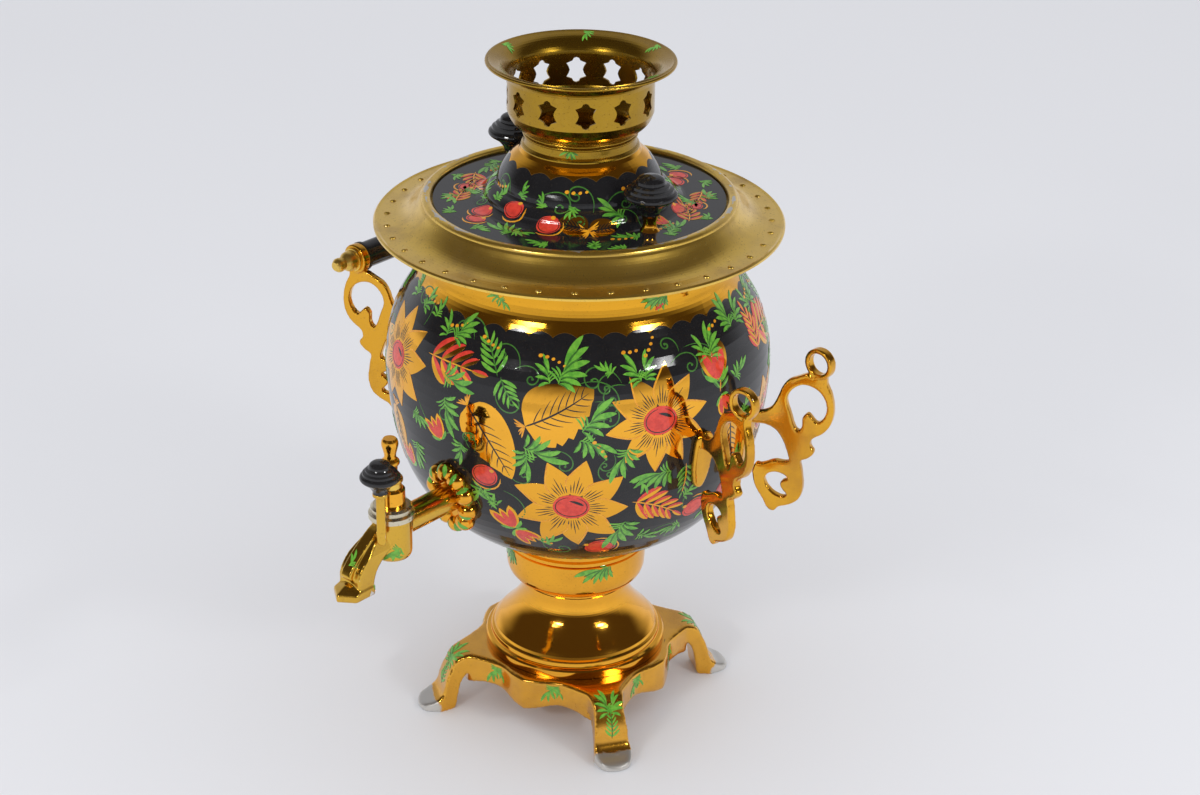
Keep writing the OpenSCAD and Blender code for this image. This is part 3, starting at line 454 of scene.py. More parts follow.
@dataclass(frozen=True)
class Gilding:
    """Gold-toned metal that shows age.

    Attributes:
        name: the material's name.
        colour: the clean metal's colour.
        aged: its colour under tarnish.
        base_rough: roughness of the clean polish.
        specks: strength of the fine brown specks.
        clouds: strength of the brown clouds.
        edge: how much silver shows at rubbed edges, for castings with fine meshes.
        edge_start: the sharpness at which an edge counts.
        bands: rings of wear (height, radius, width, break) in metres, where the base metal shows.
        seam_shade_and_grime: dark rings in the same form where parts meet, dirt together with painted shade
            in the crevice.
        waves: height in metres of the slow waves in the surface.
        coat: weight of the clear gloss over the metal.
    """

    name: str
    colour: Colour = (0.98, 0.47, 0.045)
    aged: Colour = (0.36, 0.15, 0.03)
    base_rough: float = 0.05
    specks: float = 0.25
    clouds: float = 0.25
    edge: float = 0.0
    edge_start: float = 0.07
    bands: tuple[Band, ...] = ()
    seam_shade_and_grime: tuple[Band, ...] = ()
    waves: float = 0.00012
    coat: float = 0.0

    @staticmethod
    def ring(graph: Graph, band: Band) -> bpy.types.NodeSocket:
        """Returns the mask of one ring, used for rubbed wear and for the dark seam rings of dirt and painted
        crevice shade.
        """
        height, radius, width, gap = band
        return graph.group(band_group(), Height=height, Radius=radius, Width=width, Break=gap).outputs[0]

    def build(self) -> bpy.types.Material:
        """Makes the metal from its colour, tarnish, rubbed places and scratches.

        Returns:
            The material.
        """
        made, graph, shader = material(self.name)
        shader.inputs["Coat Weight"].default_value = self.coat
        shader.inputs["Coat Roughness"].default_value = 0.06
        aged = graph.group(tarnish_group(), Specks=self.specks, Clouds=self.clouds).outputs
        polish = graph.group(hand_rubbed_group(), Scratches=0.05, Wiping=0.06).outputs
        worn: object = 0.0
        if self.edge > 0:
            worn = graph.group(rubbed_edge_group(), Start=self.edge_start, Amount=self.edge).outputs[0]
        for band in self.bands:
            worn = graph.maths("MAXIMUM", worn, self.ring(graph, band))
        tone = graph.mix(aged["Clouds"], self.colour, self.aged)
        tone = graph.mix(aged["Specks"], tone, tuple(0.55 * c for c in self.aged))
        tone = graph.mix(worn, tone, (0.72, 0.70, 0.66))
        # Dark seam rings: dirt together with painted shade in the crevice where two parts meet.
        for band in self.seam_shade_and_grime:
            tone = graph.mix(self.ring(graph, band), tone, (0.03, 0.022, 0.015))
        graph.feed(shader.inputs["Base Color"], tone)
        shader.inputs["Metallic"].default_value = 1.0
        rough = graph.maths("ADD", polish["Roughness"], self.base_rough)
        rough = graph.maths("MULTIPLY_ADD", aged["Clouds"], 0.18, rough)
        rough = graph.maths("MULTIPLY_ADD", aged["Specks"], 0.3, rough)
        graph.feed(shader.inputs["Roughness"], graph.between(worn, rough, 0.48))
        bump = graph.node("Bump", Distance=self.waves, Strength=0.6)
        lowered = graph.maths("MULTIPLY_ADD", worn, -0.5, polish["Height"])
        graph.feed(bump.inputs["Height"], graph.maths("MULTIPLY_ADD", aged["Specks"], -0.25, lowered))
        graph.feed(shader.inputs["Normal"], bump.outputs[0])
        return made


@dataclass(frozen=True)
class Lacquer:
    """Black gloss lacquer over gilding, which stays bare beyond scalloped borders.

    Attributes:
        name: the material's name.
        top: height of the upper border in metres.
        count: number of arcs round it.
        rise: height of an arc in metres.
        bottom: height under which the gilding is bare.
        middle: height of the point that the tinned inner side looks to.
    """

    name: str
    top: float
    count: int
    rise: float
    bottom: float
    middle: float = 0.2

    def build(self) -> bpy.types.Material:
        """Makes the black, the bare gilding beyond its borders and the tin inside.

        Returns:
            The material.
        """
        made, graph, shader = material(self.name)
        border = graph.group(scallop_group(), Half_count=self.count / 2, Height=self.top, Rise=self.rise)
        upper = border.outputs[0]
        height = graph.node("SeparateXYZ", Vector=place_of(graph)).outputs[2]
        lower = graph.step(height, self.bottom + 0.0001, self.bottom - 0.0001)
        bare = graph.maths("MAXIMUM", upper, lower)
        aged = graph.group(tarnish_group(), Specks=0.35, Clouds=0.16).outputs
        polish = graph.group(hand_rubbed_group(), Scratches=0.035, Wiping=0.035).outputs
        gold = graph.mix(aged["Clouds"], (0.86, 0.42, 0.03), (0.4, 0.17, 0.03))
        gold = graph.mix(graph.maths("MULTIPLY", aged["Specks"], 0.6), gold, (0.2, 0.09, 0.02))
        black = graph.mix(aged["Sheen"], (0.009, 0.009, 0.010), (0.016, 0.016, 0.018))
        black = graph.mix(graph.maths("MULTIPLY", aged["Specks"], 0.25), black, (0.12, 0.10, 0.08))
        inner = graph.group(inner_side_group(), Middle=self.middle).outputs[0]
        tin = graph.mix(aged["Sheen"], (0.60, 0.59, 0.56), (0.38, 0.36, 0.32))
        graph.feed(shader.inputs["Base Color"], graph.mix(inner, graph.mix(bare, black, gold), tin))
        graph.feed(shader.inputs["Metallic"], graph.between(inner, bare, 0.4))
        rough = graph.maths("ADD", polish["Roughness"], 0.07)
        rough = graph.maths("MULTIPLY_ADD", inner, 0.28, rough)
        graph.feed(shader.inputs["Roughness"], graph.maths("MULTIPLY_ADD", aged["Specks"], 0.12, rough))
        shader.inputs["IOR"].default_value = 1.46
        bump = graph.node("Bump", Distance=0.0001, Strength=0.35)
        graph.feed(bump.inputs["Height"], polish["Height"])
        graph.feed(shader.inputs["Normal"], bump.outputs[0])
        return made


@dataclass(frozen=True)
class Pigment:
    """One of the decoration's paints, under the same gloss as the lacquer.

    Attributes:
        name: the material's name.
        colour: its full colour.
        thin: its colour where the brush left less of it.
    """

    name: str
    colour: Colour
    thin: Colour

    def build(self) -> bpy.types.Material:
        """Makes the paint, which is uneven where the brush ran dry.

        Returns:
            The material.
        """
        made, graph, shader = material(self.name)
        place = place_of(graph)
        load = graph.step(graph.noise(place, 320.0, 3.0, 0.6), 0.35, 0.68)
        aged = graph.group(tarnish_group(), Specks=0.3, Clouds=0.2).outputs
        tone = graph.mix(load, self.colour, self.thin)
        tone = graph.mix(aged["Specks"], tone, tuple(0.35 * c for c in self.colour))
        graph.feed(shader.inputs["Base Color"], tone)
        polish = graph.group(hand_rubbed_group(), Scratches=0.04, Wiping=0.05).outputs
        graph.feed(shader.inputs["Roughness"], graph.maths("ADD", polish["Roughness"], 0.05))
        shader.inputs["IOR"].default_value = 1.55
        bump = graph.node("Bump", Distance=0.00005, Strength=0.4)
        graph.feed(bump.inputs["Height"], graph.noise(place, 600.0, 2.0))
        graph.feed(shader.inputs["Normal"], bump.outputs[0])
        return made


@dataclass(frozen=True)
class Moulding:
    """Moulded plastic or rubber.

    Attributes:
        name: the material's name.
        colour: its colour.
        dust: its colour where dust lies.
        rough: its roughness.
        grain: height of its fine grain in metres.
    """

    name: str
    colour: Colour
    dust: Colour
    rough: float
    grain: float

    def build(self) -> bpy.types.Material:
        """Makes the moulded surface with its dust, scratches and grain.

        Returns:
            The material.
        """
        made, graph, shader = material(self.name)
        place = place_of(graph)
        aged = graph.group(tarnish_group(), Specks=0.5, Clouds=0.35).outputs
        tone = graph.mix(graph.maths("MULTIPLY", aged["Clouds"], 0.35), self.colour, self.dust)
        tone = graph.mix(graph.maths("MULTIPLY", aged["Specks"], 0.5), tone, self.dust)
        graph.feed(shader.inputs["Base Color"], tone)
        polish = graph.group(hand_rubbed_group(), Scratches=0.1, Wiping=0.08).outputs
        graph.feed(shader.inputs["Roughness"], graph.maths("ADD", polish["Roughness"], self.rough))
        bump = graph.node("Bump", Distance=self.grain, Strength=0.5)
        graph.feed(bump.inputs["Height"], graph.noise(place, 1400.0, 2.0))
        graph.feed(shader.inputs["Normal"], bump.outputs[0])
        return made


Finish = Gilding | Lacquer | Pigment | Moulding

WARM_GOLD = Gilding("warm_gold")
# The dark ring where the pedestal's foot sits on the base is dirt together with painted crevice shade.
PEDESTAL_GOLD = Gilding("pedestal_gold", seam_shade_and_grime=((0.0350, 0.0512, 0.0006, 0.4),), specks=0.12, clouds=0.12)
CAST_GOLD = Gilding(
    "cast_gold", (0.88, 0.44, 0.04), clouds=0.4, base_rough=0.15, waves=0.0002, coat=0.5,
    # Its dark ring at the pedestal's seat is dirt together with painted crevice shade.
    seam_shade_and_grime=((0.0345, 0.0522, 0.0008, 0.4),),
)
HANDLE_GOLD = Gilding(
    "handle_gold", (0.82, 0.41, 0.025), clouds=0.5, edge=0.7, edge_start=0.1,
    base_rough=0.12, waves=0.0002, coat=0.35,
)
TURNED_GOLD = Gilding("handle_turned_gold", clouds=0.4, base_rough=0.1, specks=0.4)
TAP_GOLD = Gilding(
    "tap_gold", (0.74, 0.44, 0.05), clouds=0.5, edge=0.8, edge_start=0.05,
    base_rough=0.15, waves=0.0002, coat=0.3,
    bands=((0.118, 0.181, 0.010, 1.7), (0.137, 0.168, 0.006, 2.2)),
)
OLIVE_BRASS = Gilding(
    "olive_brass", (0.90, 0.60, 0.11), (0.50, 0.32, 0.10), 0.25, 0.5, 0.7, coat=0.3,
    bands=((0.3062, 0.0812, 0.0018, 2.7),),
)
CROWN_BRASS = Gilding("crown_brass", (0.44, 0.26, 0.022), (0.25, 0.14, 0.02), 0.18, 0.4, 0.6, coat=0.2)
BARE_STEEL = Gilding("bare_steel", (0.62, 0.60, 0.55), (0.2, 0.17, 0.13), 0.2, 0.5, 0.5)
WORN_PLATE = Gilding("worn_plate", (0.70, 0.64, 0.48), (0.42, 0.25, 0.08), 0.2, 0.6, 0.75)
URN_LACQUER = Lacquer("urn_lacquer", 0.2610, 44, 0.0026, 0.1185)
LID_LACQUER = Lacquer("lid_lacquer", 0.3260, 20, 0.0021, 0.0)
BLACK_PLASTIC = Moulding("black_plastic", (0.010, 0.010, 0.011), (0.06, 0.057, 0.053), 0.02, 0.00002)
RUBBER = Moulding("rubber", (0.035, 0.03, 0.026), (0.12, 0.1, 0.09), 0.55, 0.0001)
PAINTS: dict[Paint, Finish] = {
    Paint.GILT: Gilding("leaf_gold", (0.98, 0.48, 0.05), (0.5, 0.2, 0.03), 0.03, 0.12, 0.15, waves=0.00008),
    Paint.RED: Pigment("red_paint", (0.74, 0.062, 0.038), (0.58, 0.040, 0.028)),
    Paint.GREEN: Pigment("green_paint", (0.060, 0.20, 0.030), (0.04, 0.13, 0.025)),
    Paint.LIME: Pigment("lime_paint", (0.17, 0.46, 0.050), (0.09, 0.32, 0.035)),
    Paint.YELLOW: Pigment("yellow_paint", (0.83, 0.38, 0.02), (0.70, 0.27, 0.015)),
    Paint.BLACK: Pigment("black_paint", (0.008, 0.008, 0.009), (0.014, 0.014, 0.014)),
}


class Finishes:
    """Builds each finish once and hands it out."""

    def __init__(self) -> None:
        """Starts with no material built."""
        self.built: dict[str, bpy.types.Material] = {}

    def of(self, finish: Finish) -> bpy.types.Material:
        """Returns the finish's material."""
        if finish.name not in self.built:
            self.built[finish.name] = finish.build()
        return self.built[finish.name]

    def dress(self, finish: Finish, *nodes: str) -> None:
        """Gives CAD nodes their finish.

        Args:
            finish: the finish.
            nodes: names of the nodes.
        """
        for node in nodes:
            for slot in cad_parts[node].material_slots:
                slot.link = "OBJECT"
                slot.material = self.of(finish)
            LOG.info("%s: %s", node, finish.name)


FINISHES = Finishes()


# ---------------------------------------------------------------- surfaces to paint on


def tree_of(piece: bpy.types.Object) -> BVHTree:
    """Returns a tree of the piece in the row frame, for ray casts."""
    points = [piece.matrix_world @ v.co for v in piece.data.vertices]
    return BVHTree.FromPolygons(points, [f.vertices for f in piece.data.polygons])


class Patch(Protocol):
    """A place to paint on, with u to the right and v up, in millimetres."""

    def spot(self, u: float, v: float) -> Spot | None:
        """Returns the place and the normal there, or None beyond the surface."""


@dataclass
class TurnedCanvas:
    """A turned surface, unrolled by the length along its profile.

    Attributes:
        profile: radius and height of its points in metres, in the order of v.
        lengths: the length along the profile at each point.
        slopes: the outward normal at each point, as its radial and upward parts.
        STRIDE: how far apart the rays that measure a face are, in metres.
        LEAST_STEPS: the least number of their steps.
        FAR_OUT: radius from which rays meet an outside.
        HIGH_UP: height from which rays meet a face from above.
    """

    STRIDE: ClassVar[dict[Face, float]] = {Face.OUTSIDE: 0.0012, Face.ABOVE: 0.0004}
    LEAST_STEPS: ClassVar[int] = 8
    FAR_OUT: ClassVar[float] = 0.3
    HIGH_UP: ClassVar[float] = 0.6

    profile: list[Point]
    lengths: list[float] = field(init=False)
    slopes: list[Vector] = field(init=False)

    def __post_init__(self) -> None:
        """Works out the lengths and the normals along the profile."""
        self.lengths = [0.0]
        flats = []
        for (r0, z0), (r1, z1) in zip(self.profile, self.profile[1:], strict=False):
            self.lengths.append(self.lengths[-1] + math.hypot(r1 - r0, z1 - z0))
            flats.append(Vector((z1 - z0, r0 - r1)).normalized())
        pairs = zip([flats[0], *flats], [*flats, flats[-1]], strict=True)
        self.slopes = [(a + b).normalized() for a, b in pairs]

    @classmethod
    def measured(
        cls, tree: BVHTree, face: Face, start: float, stop: float, turn: float = -50.0
    ) -> "TurnedCanvas":
        """Measures the profile by ray casts.

        Args:
            tree: the piece's tree.
            face: the side to measure.
            start: first height in metres, or radius for the face above.
            stop: last height or radius.
            turn: direction round the axis in degrees.
        Returns:
            The canvas.
        """
        out = Vector((math.cos(math.radians(turn)), math.sin(math.radians(turn)), 0.0))
        steps = max(cls.LEAST_STEPS, int(abs(stop - start) / cls.STRIDE[face]))
        profile = []
        for k in range(steps + 1):
            at = start + (stop - start) * k / steps
            origin, way = out * cls.FAR_OUT + Vector((0, 0, at)), -out
            if face is Face.ABOVE:
                origin, way = out * at + Vector((0, 0, cls.HIGH_UP)), Vector((0, 0, -1))
            hit = tree.ray_cast(origin, way)[0]
            if hit is not None:
                profile.append((math.hypot(hit.x, hit.y), hit.z))
        return cls(profile)

    def place(self, turn: float, along: float) -> Spot:
        """Finds a place on the surface.

        Args:
            turn: its angle round the axis in radians.
            along: its length along the profile in metres.
        Returns:
            The place and the normal there.
        """
        along = min(max(along, 0.0), self.lengths[-1] - 1e-7)
        k = min(bisect_right(self.lengths, along) - 1, len(self.profile) - 2)
        t = (along - self.lengths[k]) / max(self.lengths[k + 1] - self.lengths[k], 1e-9)
        (r0, z0), (r1, z1) = self.profile[k], self.profile[k + 1]
        r, z = r0 + (r1 - r0) * t, z0 + (z1 - z0) * t
        slope = self.slopes[k].lerp(self.slopes[k + 1], t)
        way = Vector((math.cos(turn), math.sin(turn), 0.0))
        return way * r + Vector((0, 0, z)), (way * slope.x + Vector((0, 0, slope.y))).normalized()

    def along(self, height: float) -> float:
        """Finds where the profile first reaches a height.

        Args:
            height: the height in metres.
        Returns:
            The length along the profile there.
        """
        way = 1 if self.profile[-1][1] > self.profile[0][1] else -1
        for k, (_, z) in enumerate(self.profile):
            if (z - height) * way >= 0:
                return self.lengths[k]
        return self.lengths[-1]

    def along_radius(self, radius: float) -> float:
        """Finds where the profile first comes in to a radius.

        Args:
            radius: the radius in metres.
        Returns:
            The length along the profile there.
        """
        for k, (r, _) in enumerate(self.profile):
            if r <= radius:
                return self.lengths[k]
        return self.lengths[-1]


@dataclass
class TurnedPatch:
    """A patch of a turned canvas.

    Attributes:
        canvas: the canvas.
        turn: the anchor's angle in degrees.
        start: the anchor's length along the profile in metres.
        OVERRUN: how far beyond the canvas a stroke may reach before it is left out.
        LEAST_R: the least radius by which u is turned into an angle.
    """

    OVERRUN: ClassVar[float] = 0.004
    LEAST_R: ClassVar[float] = 0.004

    canvas: TurnedCanvas
    turn: float
    start: float

    def spot(self, u: float, v: float) -> Spot | None:
        """Finds a spot of the patch.

        Args:
            u, v: its place in millimetres.
        Returns:
            The place and the normal, or None well beyond the canvas.
        """
        along = self.start + v * MM
        if not -self.OVERRUN <= along <= self.canvas.lengths[-1] + self.OVERRUN:
            return None
        place, _ = self.canvas.place(0.0, along)
        return self.canvas.place(math.radians(self.turn) + u * MM / max(place.x, self.LEAST_R), along)


@dataclass
class CastPatch:
    """A patch on any surface, projected along the anchor's normal.

    Attributes:
        tree: the surface's tree.
        anchor: the anchor in metres.
        normal: the direction that the patch faces.
        up: the direction of v.
        ABOVE: how far over the anchor the rays start, in metres.
        REACH: how long they are.
        LEAST_FACING: the least cosine between the patch's and a spot's normal.
    """

    ABOVE: ClassVar[float] = 0.006
    REACH: ClassVar[float] = 0.014
    LEAST_FACING: ClassVar[float] = 0.25

    tree: BVHTree
    anchor: Vector
    normal: Vector
    up: Vector

    @classmethod
    def aimed(cls, tree: BVHTree, origin: Vector, way: Vector, up: Vector) -> "CastPatch | None":
        """Finds the anchor where a ray first meets the surface.

        Args:
            tree: the surface's tree.
            origin: the ray's start.
            way: the ray's direction.
            up: roughly the direction of v.
        Returns:
            The patch, or None where the ray meets nothing.
        """
        hit, normal, _, _ = tree.ray_cast(origin, way.normalized())
        if hit is None:
            return None
        right = up.cross(normal).normalized()
        return cls(tree, hit, normal, normal.cross(right))

    def spot(self, u: float, v: float) -> Spot | None:
        """Finds a spot of the patch.

        Args:
            u, v: its place in millimetres.
        Returns:
            The place and the normal, or None where the surface ends or turns away.
        """
        right = self.up.cross(self.normal)
        over = self.anchor + right * (u * MM) + self.up * (v * MM) + self.normal * self.ABOVE
        hit, normal, _, _ = self.tree.ray_cast(over, -self.normal, self.REACH)
        if hit is None or normal.dot(self.normal) < self.LEAST_FACING:
            return None
        return hit, normal


# ---------------------------------------------------------------- painting


class Film:
    """Collects the strokes of one paint on one body.

    Attributes:
        LIFT: how far the first film stands over the surface in metres.
        LAYER: how far each further one stands over the last.
        SINK: how far a film's underside lies in the surface.
    """

    LIFT = 0.09 * MM
    LAYER = 0.05 * MM
    SINK = 0.05 * MM

    def __init__(self) -> None:
        """Starts empty."""
        self.points: list[Vector] = []
        self.normals: list[Vector] = []
        self.faces: list[tuple[int, int, int, int]] = []

    def add(self, rows: list[list[Spot]], layer: int) -> None:
        """Adds a closed strip of film.

        Args:
            rows: spots across and then along the strip, from its right to its left.
            layer: how many films lie under it.
        """
        high, long = len(rows), len(rows[0])
        top = len(self.points)
        low = top + high * long
        for lift in (self.LIFT + layer * self.LAYER, -self.SINK):
            for row in rows:
                for place, normal in row:
                    self.points.append(place + normal * lift)
                    self.normals.append(normal)
        for j in range(high - 1):
            for i in range(long - 1):
                k = j * long + i
                self.faces.append((top + k, top + k + 1, top + k + long + 1, top + k + long))
                self.faces.append((low + k, low + k + long, low + k + long + 1, low + k + 1))
        for i in range(long - 1):
            k = (high - 1) * long + i
            self.faces.append((top + i, low + i, low + i + 1, top + i + 1))
            self.faces.append((top + k + 1, low + k + 1, low + k, top + k))
        for i in range(0, (high - 1) * long, long):
            k = i + long - 1
            self.faces.append((top + i, top + i + long, low + i + long, low + i))
            self.faces.append((top + k + long, top + k, low + k, low + k + long))

    def build(self, name: str, body: str, paint: Paint) -> None:
        """Makes the object of all the strokes.

        Args:
            name: the object's name.
            body: the body that it rides on.
            paint: its paint.
        """
        mesh = bpy.data.meshes.new(name)
        mesh.from_pydata(self.points, [], self.faces)
        mesh.materials.append(FINISHES.of(PAINTS[paint]))
        mesh.polygons.foreach_set("use_smooth", [True] * len(mesh.polygons))
        mesh.normals_split_custom_set_from_vertices(self.normals)
        made = bpy.data.objects.new(name, mesh)
        bpy.context.scene.collection.objects.link(made)
        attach(made, body)
        LOG.info("%s: %d faces", name, len(mesh.polygons))


def arc(u: float, v: float, heading: float, length: float, bend: float, steps: int = 0) -> list[Point]:
    """Returns a spine that starts at a point and bends evenly.

    Args:
        u, v: the start.
        heading: its first direction in degrees.
        length: its length in millimetres.
        bend: how far it turns, in degrees.
        steps: number of its segments, or 0 to choose them by the length.
    Returns:
        The points.
    """
    steps = steps or max(5, min(14, int(length / 1.6)))
    points = [(u, v)]
    for k in range(steps):
        a = math.radians(heading + bend * (k + 0.5) / steps)
        u, v = u + length / steps * math.cos(a), v + length / steps * math.sin(a)
        points.append((u, v))
    return points


def swell(t: float, rise: float, fall: float) -> float:
    """Gives the width along a stroke, from about 0 over 1 to about 0.

    Args:
        t: the place along it, from 0 to 1.
        rise, fall: how blunt its start and its end are, less for a blunter one.
    Returns:
        The width as a part of the greatest.
    """
    t = min(max(t, 1e-4), 0.9999)
    peak = rise / (rise + fall)
    return (t / peak) ** rise * ((1 - t) / (1 - peak)) ** fall


def petal(t: float) -> float:
    """Gives the width along a petal, from 0 over 1 to a pointed tip.

    Args:
        t: the place along it, from 0 to 1.
    Returns:
        The width as a part of the greatest.
    """
    widest = 0.4
    if t < widest:
        return math.sin(math.pi / 2 * t / widest) ** 0.7
    return 1 - ((t - widest) / 0.6) ** 1.35


class Brush:
    """Lays strokes on the patches of one piece.

    Attributes:
        THIN: the least half width of a stroke in millimetres.
    """

    THIN = 0.06

    def __init__(self, name: str, body: str, seed: int, grain: float = 3.0) -> None:
        """Starts with clean films.

        Args:
            name: the start of the films' names.
            body: the body that the piece rides on.
            seed: seeds the hand's small unevenness.
            grain: the longest edge of a film's mesh in millimetres.
        """
        self.name = name
        self.body = body
        self.grain = grain
        self.films: dict[Paint, Film] = {}
        self.patch: Patch | None = None
        self.hand = random.Random(seed)

    def on(self, patch: Patch) -> "Brush":
        """Moves to a patch and returns itself."""
        self.patch = patch
        return self

    def wander(self, size: float) -> float:
        """Returns a small even error of the hand."""
        return self.hand.uniform(-size, size)

    def ribbon(self, spine: Sequence[Point], left: Sequence[float], right: Sequence[float],
               paint: Paint, layer: int) -> None:
        """Lays a strip along a spine.

        Args:
            spine: its points in millimetres.
            left, right: its half widths to either side.
            paint: its paint.
            layer: how many films lie under it.
        """
        spine, left, right = self.refined(spine, left, right)
        across = max(1, math.ceil(max(a + b for a, b in zip(left, right, strict=True)) / self.grain))
        rows: list[list[Spot]] = [[] for _ in range(across + 1)]
        for i, (u, v) in enumerate(spine):
            (au, av), (bu, bv) = spine[max(i - 1, 0)], spine[min(i + 1, len(spine) - 1)]
            size = math.hypot(bu - au, bv - av) or 1.0
            nu, nv = (av - bv) / size, (bu - au) / size
            for j, row in enumerate(rows):
                off = -right[i] + (left[i] + right[i]) * j / across
                spot = self.patch.spot(u + nu * off, v + nv * off)
                if spot is None:
                    return
                row.append(spot)
        self.films.setdefault(paint, Film()).add(rows, layer)

    def refined(self, spine: Sequence[Point], left: Sequence[float],
                right: Sequence[float]) -> tuple[list[Point], list[float], list[float]]:
        """Splits a strip so that no segment is longer than the grain.

        Args:
            spine: the strip's spine.
            left, right: its half widths to either side.
        Returns:
            The finer spine and its half widths.
        """
        points, lefts, rights = [spine[0]], [left[0]], [right[0]]
        for i in range(1, len(spine)):
            (au, av), (bu, bv) = spine[i - 1], spine[i]
            parts = max(1, math.ceil(math.hypot(bu - au, bv - av) / self.grain))
            for k in range(1, parts + 1):
                t = k / parts
                points.append((au + (bu - au) * t, av + (bv - av) * t))
                lefts.append(left[i - 1] + (left[i] - left[i - 1]) * t)
                rights.append(right[i - 1] + (right[i] - right[i - 1]) * t)
        return points, lefts, rights

    def stroke(self, spine: Sequence[Point], width: float, paint: Paint, layer: int,
               rise: float = 0.7, fall: float = 0.6) -> None:
        """Lays a stroke that swells along its spine.

        Args:
            spine: its points in millimetres.
            width: its greatest width.
            paint: its paint.
            layer: how many films lie under it.
            rise, fall: how blunt its start and its end are.
        """
        last = len(spine) - 1
        half = [max(self.THIN, width / 2 * swell(k / last, rise, fall)) for k in range(last + 1)]
        self.ribbon(spine, half, half, paint, layer)

    def comma(self, u: float, v: float, heading: float, length: float, width: float, bend: float,
              paint: Paint, layer: int, rise: float = 0.7, fall: float = 0.5) -> None:
        """Lays one bending brush stroke from its foot at u and v."""
        self.stroke(arc(u, v, heading, length, bend), width, paint, layer, rise, fall)

    def disc(self, u: float, v: float, r: float, squash: float, turn: float,
             paint: Paint, layer: int) -> None:
        """Lays an oval spot.

        Args:
            u, v: its middle.
            r: half its length.
            squash: its width as a part of its length.
            turn: direction of its length in degrees.
            paint: its paint.
            layer: how many films lie under it.
        """
        steps = 14 if r > 2 else 6
        c, s = math.cos(math.radians(turn)), math.sin(math.radians(turn))
        along = [-math.cos(math.pi * k / steps) for k in range(steps + 1)]
        half = [max(self.THIN, r * squash * math.sqrt(max(0.0, 1 - x * x))) for x in along]
        self.ribbon([(u + r * x * c, v + r * x * s) for x in along], half, half, paint, layer)

    def hoop(self, u: float, v: float, r: float, squash: float, start: float, sweep: float,
             width: float, paint: Paint, layer: int) -> None:
        """Lays an arc of an oval line.

        Args:
            u, v: its middle.
            r: half the oval's width.
            squash: the oval's height as a part of its width.
            start, sweep: where the arc starts and how far it runs, in degrees.
            width: the line's width.
            paint: its paint.
            layer: how many films lie under it.
        """
        steps = max(8, int(abs(sweep) / 18))
        spine = []
        for k in range(steps + 1):
            a = math.radians(start + sweep * k / steps)
            spine.append((u + r * math.cos(a), v + r * squash * math.sin(a)))
        self.stroke(spine, width, paint, layer, 0.25, 0.25)

    def leaflet(self, u: float, v: float, heading: float, length: float, width: float, bend: float,
                first: Paint, second: Paint, layer: int) -> None:
        """Lays a leaflet whose halves are of two paints.

        Args:
            u, v: its foot.
            heading: its direction in degrees.
            length, width: its size in millimetres.
            bend: how far it bends.
            first, second: paints of its left and right half.
            layer: how many films lie under it.
        """
        spine = arc(u, v, heading, length, bend)
        last = len(spine) - 1
        half = [max(0.05, width / 2 * swell(k / last, 0.7, 0.6)) for k in range(last + 1)]
        thin = [0.02] * (last + 1)
        self.ribbon(spine, half, thin, first, layer)
        self.ribbon(spine, thin, half, second, layer)

    def build(self) -> None:
        """Makes the objects of all the films."""
        for paint, film in self.films.items():
            film.build(f"{self.name}.{paint.value}", self.body, paint)


